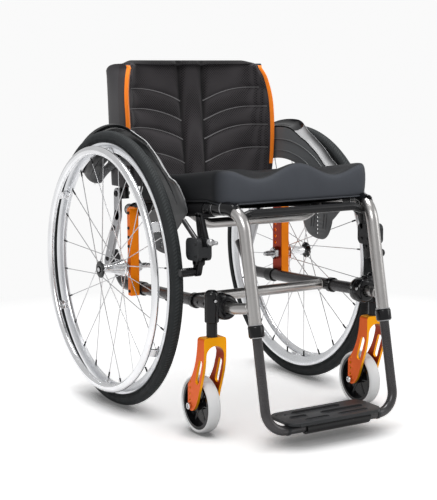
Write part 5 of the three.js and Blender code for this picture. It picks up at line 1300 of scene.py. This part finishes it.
def guard_lip_section(angle):
    """Curled top edge of the guard: it rises beside the tyre's wall and fades at both ends."""
    base = guard_edge(angle)
    degrees = math.degrees(angle)
    size = min(eased(degrees, *LIP_FADE_IN), eased(-degrees, *LIP_FADE_OUT))
    full_reach = LIP_REACH + (LIP_REAR_REACH - LIP_REACH) * eased(-degrees, *LIP_REACH_CHANGE)
    reach = full_reach * size + LIP_LEAST_REACH
    rise = LIP_RISE * size + LIP_LEAST_RISE
    outer = [(base + rise * s * s, LIP_X + reach * math.sin(math.pi / 2 * s))
             for s in (0, 0.25, 0.5, 0.75, 1)]
    inner = [(r - LIP_THICKNESS * 0.4, x + LIP_THICKNESS) for r, x in reversed(outer)]
    return [(base - LIP_ROOT, LIP_X), *outer, *inner, (base - LIP_ROOT, LIP_X + LIP_THICKNESS)]


def guard_lip(start, stop):
    steps = round(stop - start)
    angles = [math.radians(start + (stop - start) * k / steps) for k in range(steps + 1)]
    points = [on_wheel(r, angle, x) for angle in angles for r, x in guard_lip_section(angle)]
    return points, skin(steps + 1, len(points) // (steps + 1))


def polar(radius, angle):
    """Y and Z of a place round the wheel's axle."""
    return radius * math.cos(angle), WHEEL_RADIUS + radius * math.sin(angle)


def panel_outline():
    """The panel from the side: rear edge up, top edge forward, front edge down and the arch back."""
    inner_start, inner_end = PANEL_START + 0.2, math.pi - 0.9
    outline = [polar(PANEL_INNER_RADIUS, inner_start)]
    rear_top = polar(guard_edge(PANEL_START), PANEL_START)
    outline += bezier(outline[-1], polar(255, PANEL_START), rear_top, steps=10)
    top = [PANEL_START + (PANEL_STOP - PANEL_START) * k / 72 for k in range(1, 73)]
    outline += [polar(guard_edge(angle), angle) for angle in top]
    outline += bezier(outline[-1], polar(262, PANEL_STOP + 0.04), (-201, 393))
    for control, end, steps in PANEL_CURVES:
        outline += bezier(outline[-1], control, end, steps=steps)
    arch = [inner_end + (inner_start - inner_end) * k / 72 for k in range(1, 72)]
    return outline + [polar(PANEL_INNER_RADIUS, angle) for angle in arch]


def guard_ridge(radius, x):
    angles = [math.radians(RIDGE_START + RIDGE_SWEEP * k / 48) for k in range(49)]
    return sweep([(x, *polar(radius, angle)) for angle in angles],
                 lambda share: RIDGE_SIZE * min(1, 12 * share * (1 - share)) + RIDGE_END_SIZE, 10)


def guard_pieces(side):
    side_piece(side, "guard_rear_lip", guard_lip(LIP_START, LIP_JOINT), "gloss_black", sharp_degrees=50)
    side_piece(side, "guard_lip", guard_lip(LIP_JOINT, LIP_STOP), "guard_edge", replaces="side_guard",
               sharp_degrees=50)
    holes = [circle_loop(PANEL_HOLE_Y, PANEL_HOLE_Z + PANEL_HOLE_STEP * k, PANEL_HOLE_RADIUS, 20)
             for k in range(6)]
    slot_ends = [polar(PANEL_SLOT_RADIUS, math.radians(angle)) for angle in PANEL_SLOT_ANGLES]
    slot = capsule_loop(*slot_ends[0], *slot_ends[1], PANEL_SLOT_HALF, 6)
    panel = side_sheet(side, [panel_outline(), *holes, slot], PANEL_X, PANEL_DEPTH, PANEL_BEVEL)
    side_piece(side, "guard_panel", panel, "guard")
    ridges = [guard_ridge(radius, x) for radius in RIDGE_RADII for x in RIDGE_XS]
    ribs = [sweep([(RIDGE_XS[1], y, RIB_Z[0]), (RIDGE_XS[1], y - RIB_LEAN, RIB_Z[1])], RIB_SIZE, 10)
            for y in RIB_YS]
    side_piece(side, "guard_ribs", joined(*ridges, *ribs), "guard")
    posts = [turned(POST_PROFILE, (POST_X, y, rail_z(y)), segments=28) for y in POST_YS]
    side_piece(side, "guard_posts", joined(*posts), "black")


for side_name in SIDES:
    guard_pieces(side_name)


# Wheel brakes
BRAKE_X = 212
BRAKE_Y = -320
LEVER_SPOT, LEVER_END = Vector((BRAKE_X, -318, 389)), Vector((BRAKE_X, -262, 426))
SHOE_SPOT, SHOE_END = Vector((BRAKE_X, BRAKE_Y, 350)), Vector((BRAKE_X, -314, 331))
HOUSING_X, HOUSING_Z, HOUSING_HALF_DEPTH, HOUSING_HALF_HEIGHT, HOUSING_CORNER = (197, 227), 376, 25, 22, 12
LEVER_SLOT = ((205.6, -350, 381), (218.4, -286, 413))
SHOE_SLOT = ((205.6, -344, 330), (218.4, -296, 362))
BRAKE_FOOT_X, BRAKE_FOOT_Z, BRAKE_FOOT_RADIUS = (202, 222), (363, 350), 8
BRAKE_PIN_RADIUS = 3.2
BRAKE_SCREWS = (((227, -334, 364), ALONG_X, 3, 1.6), ((227, -306, 364), ALONG_X, 3, 1.6),
                ((227, -334, 388), ALONG_X, 3, 1.6), ((197, -330, 366), INWARD, 3.4, 2.2),
                ((197, -310, 366), INWARD, 3.4, 2.2))
KNOB_PROFILE = ((0, 0), (6, 0), (7, 1.2), (7, 9), (6, 11), (4.4, 12), (4, 18), (4, 20), (3.4, 21.6),
                (2.4, 22.4), (0, 22.6))
KNOB_SPOT, KNOB_AXIS = (BRAKE_X - 9, -342, 391), (-0.35, -0.94, 0)
BRAKE_CLAMP_Y, BRAKE_CLAMP_CHAMFER = -305, 1.2
BRAKE_ARM_X, BRAKE_ARM_WIDTH, BRAKE_ARM_BEVEL, BRAKE_ARM_FOOT_Z = 200.5, 7, 1, 391
BRAKE_ARM_RADIUS, BRAKE_ARM_TOP_STEP, BRAKE_ARM_FOOT_STEP = 5.7, 6, 12
BRAKE_BRIDGE_X, BRAKE_BRIDGE_HALF_LENGTH, BRAKE_BRIDGE_HALF_HEIGHT = (172, 204), 12, 3.5
BRAKE_BOLT_X, BRAKE_BOLT_STEP, BRAKE_BOLT_LIFT, BRAKE_BOLT_RADIUS, BRAKE_BOLT_HEIGHT = 187, 6, 10, 3.2, 2
EYE_PROFILE = ((3.9, -5.4), (7.4, -5.4), (8, -4.8), (8, 4.8), (7.4, 5.4), (3.9, 5.4), (3.9, -5.4))
LEVER_RADIUS, LEVER_START = 5.2, 6.5
GRIP_PROFILE, GRIP_BACK = ((0, 0), (4.5, 0), (5.2, 1.5), (5.2, 22), (4, 25.5), (0, 26.6)), 24
SHOE_ARM_RADIUS, SHOE_HOLE_RADIUS, SHOE_ARM_WIDTH, SHOE_ARM_BEVEL = 9.6, 3.9, 11.2, 1
SHOE_BAR_PROFILE, SHOE_BAR_START = ((0, 0), (7.4, 0), (8.4, 1), (8.4, 32), (7.4, 34), (0, 34.2)), 5.5
SHOE_RIDGE_PROFILE = ((8.4, 0), (8.9, 0.6), (8.9, 1.6), (8.4, 2.2))
SHOE_RIDGE_START, SHOE_RIDGE_STEP, SHOE_RIDGE_COUNT = 12, 4.5, 6
SHOE_PIN_RADIUS = 3.6


def brake_body_pieces(side):
    loop = rounded_loop(BRAKE_Y, HOUSING_Z, HOUSING_HALF_DEPTH, HOUSING_HALF_HEIGHT, HOUSING_CORNER, 10)
    body = solid_with(prism(loop, *HOUSING_X), side, [block(*LEVER_SLOT), block(*SHOE_SLOT)])
    side_piece(side, "brake_body", body, "plastic", replaces="brake_housing", bevel=1.4)
    foot_loop = capsule_loop(BRAKE_Y, BRAKE_FOOT_Z[0], BRAKE_Y, BRAKE_FOOT_Z[1], BRAKE_FOOT_RADIUS)
    foot = solid_with(prism(foot_loop, *BRAKE_FOOT_X), side, [block(*SHOE_SLOT)])
    side_piece(side, "brake_foot", foot, "black", bevel=0.8)
    pins = [rod((BRAKE_FOOT_X[0], *spot.yz), (BRAKE_FOOT_X[1], *spot.yz), BRAKE_PIN_RADIUS, 20)
            for spot in (LEVER_SPOT, SHOE_SPOT)]
    side_piece(side, "brake_pins", joined(*pins, *[bolt(*screw) for screw in BRAKE_SCREWS]), "black")
    side_piece(side, "brake_knob", turned(KNOB_PROFILE, KNOB_SPOT, KNOB_AXIS, 40), "silver")


def brake_clamp_pieces(side):
    y = BRAKE_CLAMP_Y
    top = rail_z(y) - CLAMP_RADIUS - 0.1 + BRAKE_BRIDGE_HALF_HEIGHT
    clamp = ring_on_rail(y, CLAMP_HALF, CLAMP_RADIUS, rail_z, BRAKE_CLAMP_CHAMFER)
    side_piece(side, "brake_clamp", clamp, "black", replaces="brake_bracket")
    for index, sign in enumerate((1, -1)):
        loop = capsule_loop(y + sign * BRAKE_ARM_TOP_STEP, top, BRAKE_Y + sign * BRAKE_ARM_FOOT_STEP,
                            BRAKE_ARM_FOOT_Z, BRAKE_ARM_RADIUS)
        arm = side_sheet(side, [loop], BRAKE_ARM_X, BRAKE_ARM_WIDTH, BRAKE_ARM_BEVEL)
        side_piece(side, f"brake_arm_{index}", arm, "black")
    low = (BRAKE_BRIDGE_X[0], y - BRAKE_BRIDGE_HALF_LENGTH, top - BRAKE_BRIDGE_HALF_HEIGHT)
    high = (BRAKE_BRIDGE_X[1], y + BRAKE_BRIDGE_HALF_LENGTH, top + BRAKE_BRIDGE_HALF_HEIGHT)
    side_piece(side, "brake_bridge", block(low, high), "black", bevel=1.2)
    bolts = [bolt((BRAKE_BOLT_X, y + sign * BRAKE_BOLT_STEP, top + BRAKE_BOLT_LIFT), ALONG_X,
                  BRAKE_BOLT_RADIUS, BRAKE_BOLT_HEIGHT) for sign in (-1, 1)]
    side_piece(side, "brake_clamp_bolts", joined(*bolts), "black")


def brake_lever_pieces(side):
    along = (LEVER_END - LEVER_SPOT).normalized()
    eye = turned(EYE_PROFILE, LEVER_SPOT, segments=40)
    arm = rod(LEVER_SPOT + along * LEVER_START, LEVER_END, LEVER_RADIUS)
    side_piece(side, "lever_arm", joined(eye, arm), "graphite", "brake_lever", replaces="brake_lever")
    grip = turned(GRIP_PROFILE, LEVER_END - along * GRIP_BACK, along, 32)
    side_piece(side, "lever_grip", grip, "plastic", "brake_lever")


def brake_shoe_pieces(side):
    loops = [capsule_loop(*SHOE_SPOT.yz, *SHOE_END.yz, SHOE_ARM_RADIUS),
             circle_loop(*SHOE_SPOT.yz, SHOE_HOLE_RADIUS)]
    arm = side_sheet(side, loops, BRAKE_X, SHOE_ARM_WIDTH, SHOE_ARM_BEVEL)
    side_piece(side, "shoe_arm", arm, "black", "brake_shoe", replaces="brake_shoe")
    outward_step = Vector(ALONG_X)
    bar = turned(SHOE_BAR_PROFILE, SHOE_END + outward_step * SHOE_BAR_START, segments=32)
    ridges = [turned(SHOE_RIDGE_PROFILE, SHOE_END + outward_step * (SHOE_RIDGE_START + SHOE_RIDGE_STEP * k),
                     segments=32) for k in range(SHOE_RIDGE_COUNT)]
    side_piece(side, "shoe_bar", joined(bar, *ridges), "gloss_black", "brake_shoe")
    half_pin = outward_step * SHOE_ARM_WIDTH / 2
    side_piece(side, "shoe_pin", rod(SHOE_SPOT - half_pin, SHOE_SPOT + half_pin, SHOE_PIN_RADIUS, 20),
               "steel")


for side_name in SIDES:
    brake_body_pieces(side_name)
    brake_clamp_pieces(side_name)
    brake_lever_pieces(side_name)
    brake_shoe_pieces(side_name)


# Back canes and the bar across them
CANE_BOTTOM_Z, CANE_SHOWN_TOP, CANE_RADIUS = 440, 722, 10.4
CROSS_BAR_Z, CROSS_BAR_RADIUS = 640, 8.8
CROSS_BAR_BACK, CROSS_BAR_DROP, CROSS_BAR_END, CROSS_BAR_BEND = 15, 20, 6, 40


def cane_pieces():
    for side in SIDES:
        ends = [(RAIL_X, cane_y(z), z) for z in (CANE_BOTTOM_Z, CANE_SHOWN_TOP)]
        side_piece(side, "cane_tube", rod(*ends, CANE_RADIUS, 32), "graphite", "backrest",
                   replaces="back_cane")
    y = cane_y(CROSS_BAR_Z)
    bar = across_path((CROSS_BAR_END - RAIL_X, y, CROSS_BAR_Z),
                      (CROSS_BAR_BEND - RAIL_X, y + CROSS_BAR_BACK, CROSS_BAR_Z - CROSS_BAR_DROP),
                      CROSS_BAR_DROP, 8)
    build("rear_cross_bar", sweep(bar, CROSS_BAR_RADIUS), "graphite", "backrest", "back_rigidiser_bar")


# Padded back
SHELL_HALF_WIDTH, SHELL_FRONT_Y, SHELL_REAR_Y = 195, 62, 103
SPINE_TOP_BACK, SPINE_LOWER_FORWARD = 4, 14
SLEEVE_DEPTH, WING_DEPTH = 24, 22
TOP_TAPER, TAPER_START_SHARE, WING_ROUND_SHARE = 20, 0.62, 0.8
CORNER_DROP, CORNER_START_X = 14, 132
COLUMN_TOP_HALF, COLUMN_BOTTOM_HALF, COLUMN_RISE = 31, 26, 12
GROOVE_WIDTH, PANEL_RISE, SIDE_DROP, REAR_CORNER_DROP, TOP_NOTCH = 8, 9, 9, 13, 2
SEAM_OUTER_HEIGHTS = (684, 640, 598, 545)
SEAM_WIDTH, SEAM_DROP, SEAM_FLAT_X, SEAM_CORD = 7, 32, 150, 1.4
SEAM_INSET, SEAM_TOP_INSET, SEAM_INSET_HEIGHTS = 16, 12, (650, 690)
GROOVE_SHADE_WIDTH, SEAM_SHADE_WIDTH = 5, 7
BAND_LOWEST_Z, NEAR_BAND_LOWEST_Z = 505, 535
SECTION_STEPS = 16
SHELL_LEVELS = 120
ROUND_LEVELS = 4
TOP_ROUND = SHELL_HEIGHT * ROUND_LEVELS / SHELL_LEVELS
TOP_ROUND_SHARES = ((0.36, 0.05), (0.66, 0.14), (0.87, 0.28), (0.97, 0.45), (1, 0.7), (1.01, 0.92))
BAND_FROM, BAND_TO, DARK_TO = 3.85, 5.55, 6.3
COVER_LOOKS = ("mesh", "piping", "side_cloth", "fold_cloth")
MESH_CLOTH, PIPING, SIDE_CLOTH, FOLD_CLOTH = range(4)
COVER_SHARP_DEGREES = 70


def column_half(share):
    return COLUMN_BOTTOM_HALF + (COLUMN_TOP_HALF - COLUMN_BOTTOM_HALF) * share


def shell_share(z):
    return (z - SHELL_BOTTOM) / SHELL_HEIGHT


def seam_z(outer_height, x):
    run = max(0.0, min(1.0, (SEAM_FLAT_X - abs(x)) / (SEAM_FLAT_X - COLUMN_BOTTOM_HALF)))
    return outer_height - SEAM_DROP * run ** 2


def shell_section(share):
    """Half of the shell's outline at a height: from the middle of its front, round the wing, to its rear."""
    lean = cane_y(SHELL_BOTTOM + SHELL_HEIGHT * share) - HINGE_Y
    taper = TOP_TAPER * (max(0.0, share - TAPER_START_SHARE) / (1 - TAPER_START_SHARE)) ** 2
    swell = max(0.0, math.sin(math.pi * min(1.0, share))) ** WING_ROUND_SHARE
    outer = SHELL_HALF_WIDTH - taper
    spine = SHELL_FRONT_Y + SPINE_TOP_BACK - SPINE_LOWER_FORWARD * (1 - share) + lean
    rear = SHELL_REAR_Y + lean
    front = rear - 3 * SLEEVE_DEPTH - WING_DEPTH * swell
    hollow = SHELL_FRONT_Y + lean + SLEEVE_DEPTH
    return [(0, spine), (outer * 0.3, spine - 1), (outer * 0.55, spine - 3), (outer * 0.8, spine - 12),
            (outer - 10, front), (outer - 3.5, front + 1), (outer, front + 12), (SHELL_HALF_WIDTH, rear - 16),
            (SHELL_HALF_WIDTH - 8, rear - 2), (SHELL_HALF_WIDTH - 34, rear),
            (SHELL_HALF_WIDTH - 52, rear - 8), (SHELL_HALF_WIDTH / 2, hollow + 13), (0, hollow + 15)]


def curve_through(points, steps):
    """A smooth curve through points, each span in equal steps."""
    ends = [points[0], *points, points[-1]]
    found = []
    for spans in zip(ends, ends[1:], ends[2:], ends[3:]):
        for t in [k / steps for k in range(steps)]:
            found.append(tuple(0.5 * (2 * b + (c - a) * t + (2 * a - 5 * b + 4 * c - d) * t * t
                                      + (3 * b - a - 3 * c + d) * t ** 3) for a, b, c, d in zip(*spans)))
    return [*found, points[-1]]


def padding(x, z, share):
    """How far the front stands forward of its backing: a raised column, and panels pinched on the seams."""
    reach = abs(x)
    edge = column_half(share)
    groove = 1 - math.exp(-(abs(reach - edge) / GROOVE_WIDTH) ** 1.5)
    if reach < edge:
        return COLUMN_RISE * groove * (0.75 + 0.25 * math.cos(math.pi / 2 * reach / edge))
    gap = min(abs(z - seam_z(height, x)) for height in SEAM_OUTER_HEIGHTS)
    pillow = 0.45 + 0.55 * (1 - math.exp(-(gap / SEAM_WIDTH) ** 1.3))
    return PANEL_RISE * pillow * groove


def painted_cloth_shade(x, z):
    """Painted shade on the mesh cloth: dark in the grooves beside the column, just under each seam and over
    the rounded top.
    """
    groove = 0.75 * math.exp(-((abs(x) - column_half(shell_share(z))) / GROOVE_SHADE_WIDTH) ** 2)
    drops = [seam_z(height, x) - z for height in SEAM_OUTER_HEIGHTS if z <= seam_z(height, x)]
    beside_column = abs(x) > COLUMN_TOP_HALF and drops
    seam = 0.3 * math.exp(-(min(drops) / SEAM_SHADE_WIDTH) ** 2) if beside_column else 0
    # painted shade: the rounded top, lit from above, is darkened
    top = 1 - 0.7 * eased(z, SHELL_TOP - TOP_ROUND, SHELL_TOP - TOP_ROUND / 2)
    return top * max(0.15, 1 - groove - seam)


def shell_ring(share):
    """The whole outline at a height, padded in front, with its corners lower near the top."""
    ring = []
    near_top = eased(share, 0.85, 1)
    for index, (x, y) in enumerate(curve_through(shell_section(share), SECTION_STEPS)):
        segment = index / SECTION_STEPS
        drop = CORNER_DROP * eased(x, CORNER_START_X, SHELL_HALF_WIDTH - 8) * eased(5 - segment, 0, 1.2)
        drop += SIDE_DROP * eased(segment, 3.8, 5) + REAR_CORNER_DROP * eased(segment, 6.6, 8.2)
        groove = math.exp(-((x - column_half(share)) / GROOVE_WIDTH) ** 2) * (segment < 4)
        z = SHELL_BOTTOM + SHELL_HEIGHT * share - drop * near_top - TOP_NOTCH * groove * eased(share, 0.97, 1)
        forward = padding(x, z, share) * eased(BAND_FROM - segment, 0, 0.35)
        ring.append((x, y - forward, z))
    return ring + [(-x, y, z) for x, y, z in ring[-2:0:-1]]


def closing_rings(ring):
    """The rounded top edge: the top ring drawn in toward the middle of the padding's thickness."""
    half = len(ring) // 2
    faced = [ring[(half - index) % len(ring)] for index in range(len(ring))]
    return [[(x + (ox - x) / 2 * shrink, y + (oy - y) / 2 * shrink, z + rise * TOP_ROUND)
             for (x, y, z), (ox, oy, _) in zip(ring, faced)] for rise, shrink in TOP_ROUND_SHARES]


def cover_look(k, count, spot, on_top):
    """Which of the cover's cloths a place belongs to: front mesh, orange band, dark fold or side panel."""
    segment = (min(k, count - 1 - k) + 0.5) / SECTION_STEPS
    if segment < BAND_FROM:
        return MESH_CLOTH
    if on_top:
        return FOLD_CLOTH
    if segment < BAND_TO:
        return PIPING if spot[2] > (BAND_LOWEST_Z if spot[0] > 0 else NEAR_BAND_LOWEST_Z) else FOLD_CLOTH
    return FOLD_CLOTH if segment < DARK_TO else SIDE_CLOTH


def back_cover():
    rings = [shell_ring(k / SHELL_LEVELS) for k in range(SHELL_LEVELS - ROUND_LEVELS + 1)]
    rings += closing_rings(rings[-1])
    count = len(rings[0])
    mesh = mesh_from([p for ring in rings for p in ring], skin(len(rings), count))
    for look in COVER_LOOKS:
        mesh.materials.append(LOOKS[look])
    looks = [cover_look(k, count, ring[k], level >= SHELL_LEVELS - ROUND_LEVELS / 2)
             for level, ring in enumerate(rings[:-1]) for k in range(count)]
    mesh.polygons.foreach_set("material_index", looks + [SIDE_CLOTH, SIDE_CLOTH])
    smoothed(mesh, COVER_SHARP_DEGREES)
    # the shade attribute carries the painted shade for the mesh cloth
    shade = mesh.attributes.new("shade", "FLOAT", "POINT")
    shade.data.foreach_set("value", [painted_cloth_shade(x, z) for x, _, z in (v.co / MM for v in mesh.vertices)])
    cover = linked("back_cover", mesh)
    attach(cover, "backrest")
    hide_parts("back_shell")


def front_surface(x, z):
    """Y of the padded front at a place across and up the back."""
    line = shell_ring(shell_share(z))[:4 * SECTION_STEPS + 1]
    for (x0, y0, _), (x1, y1, _) in zip(line, line[1:]):
        if x0 <= abs(x) <= x1:
            return y0 + (y1 - y0) * (abs(x) - x0) / max(0.001, x1 - x0)
    return line[-1][1]


# Stitched seams drawn as pale cords; the pale tone is partly the stitching and partly a painted highlight
# along each seam.
def stitched_seams():
    cords = []
    for height in SEAM_OUTER_HEIGHTS:
        inner = column_half(shell_share(height - SEAM_DROP)) + 1
        outer = SHELL_HALF_WIDTH - SEAM_INSET - SEAM_TOP_INSET * eased(height, *SEAM_INSET_HEIGHTS)
        for sign in SIDES.values():
            reaches = [inner + (outer - inner) * k / 48 for k in range(49)]
            spots = [(sign * x, front_surface(x, seam_z(height, x)), seam_z(height, x)) for x in reaches]
            cords.append(sweep(spots, lambda share: SEAM_CORD * (1 - 0.55 * share), 10))
    return joined(*cords)


cane_pieces()
back_cover()
build("back_seams", stitched_seams(), "seam", "backrest")


# Seat sling, wrapped round the rails and open where the axle plates' clamps sit
SLING_REAR_Y, SLING_FRONT_Y, SLING_STATIONS = 27.5, -287.5, 44
SLING_WRAP_RADIUS, SLING_STEP, SLING_STEPS = 14, 11, 14
SLING_SAG, SLING_SAG_HALF, SLING_THICKNESS = 5, 156, 2
SLING_GAP_X, SLING_GAP_FRONT, SLING_GAP_REAR = 152, -25, 21


def sling_piece():
    wrap = [math.radians(a) for a in range(-150, 181, 15)]
    half = [(RAIL_X + SLING_WRAP_RADIUS * math.cos(a), SLING_WRAP_RADIUS * math.sin(a)) for a in wrap]
    half += [(RAIL_X - SLING_WRAP_RADIUS - SLING_STEP * k, 0) for k in range(1, SLING_STEPS + 1)]
    line = half + [(-x, z) for x, z in half[::-1]]
    width = len(line)
    length = SLING_FRONT_Y - SLING_REAR_Y
    points, faces = [], []
    for k in range(SLING_STATIONS + 1):
        y = SLING_REAR_Y + length * k / SLING_STATIONS
        points += [(x, y, rail_z(y) + z - SLING_SAG * max(0, 1 - (x / SLING_SAG_HALF) ** 2)) for x, z in line]
    for k in range(SLING_STATIONS):
        beside_plate = SLING_GAP_FRONT < SLING_REAR_Y + length * (k + 0.5) / SLING_STATIONS < SLING_GAP_REAR
        for j in range(width - 1):
            if beside_plate and abs(line[j][0] + line[j + 1][0]) / 2 > SLING_GAP_X:
                continue
            faces.append((k * width + j, k * width + j + 1, (k + 1) * width + j + 1, (k + 1) * width + j))
    piece = build("sling_cloth", (points, faces), "webbing", "chassis", sharp_degrees=60)
    thick = piece.modifiers.new("cloth", "SOLIDIFY")
    thick.thickness = SLING_THICKNESS * MM
    thick.offset = 0
    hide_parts("seat_sling")


# Contoured cushion
CUSHION_HALF, CUSHION_FRONT, CUSHION_REAR = 184, -358, 2
CUSHION_MIDDLE = (CUSHION_FRONT + CUSHION_REAR) / 2
CUSHION_HALF_LENGTH = (CUSHION_REAR - CUSHION_FRONT) / 2
CUSHION_CORNER, CUSHION_POINT_SPACING = 36, 9
CUSHION_BASE, CUSHION_HEIGHT, CUSHION_FILL = 14.6, 67, 0.8
CUSHION_DROOP, CUSHION_DROOP_LENGTH = 9, 60
CUSHION_SLOPE, CHANNEL_DEPTH, POMMEL_RISE, WELL_DEPTH, SHOULDER_DROP, REAR_FALL = 9, 24, 4, 15, 3, 14
CUSHION_UNDERSIDE = ((CUSHION_HALF * 0.9, 0, 0), (CUSHION_HALF * 0.5, 0, 0), (30, 0, 0))
CUSHION_EDGE = ((12, 0, 0), (5, 1.2, 0), (1.2, 4.5, 0), (0.3, 9, 0), (-0.6, 6, 0.2), (-1.1, 4, 0.4),
                (-0.9, 2, 0.6), (0, -1, 0.78), (0.8, -3, 0.88), (2.2, -5, 0.97), (4.4, -3.6, 1),
                (7.6, -1.8, 1), (12, -0.6, 1), (18, 0, 1))
CUSHION_TOP_INSET, CUSHION_TOP_RINGS = 18, 20
WELT_PLACE, WELT_RADIUS = (0.6, 1.4, 0), 1.9


def cushion_height(x, y):
    """Height of the top over the base: thigh channels in front, a seat well, and a rear edge that falls."""
    across_share = min(1.0, abs(x) / CUSHION_HALF)
    along_share = min(1.0, max(0.0, (y - CUSHION_FRONT) / (CUSHION_REAR - CUSHION_FRONT)))
    front = 1 - along_share
    channel = CHANNEL_DEPTH * (0.5 - 0.5 * math.cos(math.tau * across_share)) * front
    pommel = POMMEL_RISE * math.cos(math.pi * across_share / 2) ** 8 * front
    well = WELL_DEPTH * math.sin(math.pi * min(1, along_share / 0.7)) * (1 - across_share ** 2)
    edges = SHOULDER_DROP * eased(across_share, 0.78, 1) + REAR_FALL * eased(along_share, 0.9, 1)
    return CUSHION_HEIGHT - CUSHION_SLOPE * along_share - channel + pommel - well - edges


def cushion_outline():
    """The rounded outline with its long straight stretches divided."""
    outline = rounded_loop(0, CUSHION_MIDDLE, CUSHION_HALF, CUSHION_HALF_LENGTH, CUSHION_CORNER, 14)
    dense = []
    for (x, y), (nx, ny) in zip(outline, outline[1:] + outline[:1]):
        pieces = max(1, round(math.hypot(nx - x, ny - y) / CUSHION_POINT_SPACING))
        dense += [(x + (nx - x) * k / pieces, y + (ny - y) * k / pieces) for k in range(pieces)]
    return dense


def cushion_ring(outline, inset, lift, top_share):
    """The outline drawn in by an inset, at a share of the way from the base to the top."""
    found = []
    for x, y in outline:
        px = x * (1 - inset / CUSHION_HALF)
        py = CUSHION_MIDDLE + (y - CUSHION_MIDDLE) * (1 - inset / CUSHION_HALF_LENGTH)
        near_front = eased(-py, -CUSHION_FRONT - CUSHION_DROOP_LENGTH, -CUSHION_FRONT)
        droop = CUSHION_DROOP * near_front * (1 - top_share)
        base = rail_z(py) + CUSHION_BASE - droop
        found.append((px, py, base + lift + top_share * cushion_height(px, py)))
    return found


def cushion_pieces():
    outline = cushion_outline()
    top_width = CUSHION_HALF - CUSHION_TOP_INSET
    top = [(CUSHION_TOP_INSET + top_width * k / CUSHION_TOP_RINGS, 0, 1) for k in range(1, CUSHION_TOP_RINGS)]
    rings = [cushion_ring(outline, *step) for step in (*CUSHION_UNDERSIDE, *CUSHION_EDGE, *top)]
    shape = ([p for ring in rings for p in ring], skin(len(rings), len(outline)))
    piece = build("cushion_pad", shape, "cover", "chassis", "seat_cushion", sharp_degrees=60)
    welt = sweep(cushion_ring(outline, *WELT_PLACE), WELT_RADIUS, 10, closed=True)
    build("cushion_welt", welt, "cover", "chassis")


sling_piece()
cushion_pieces()
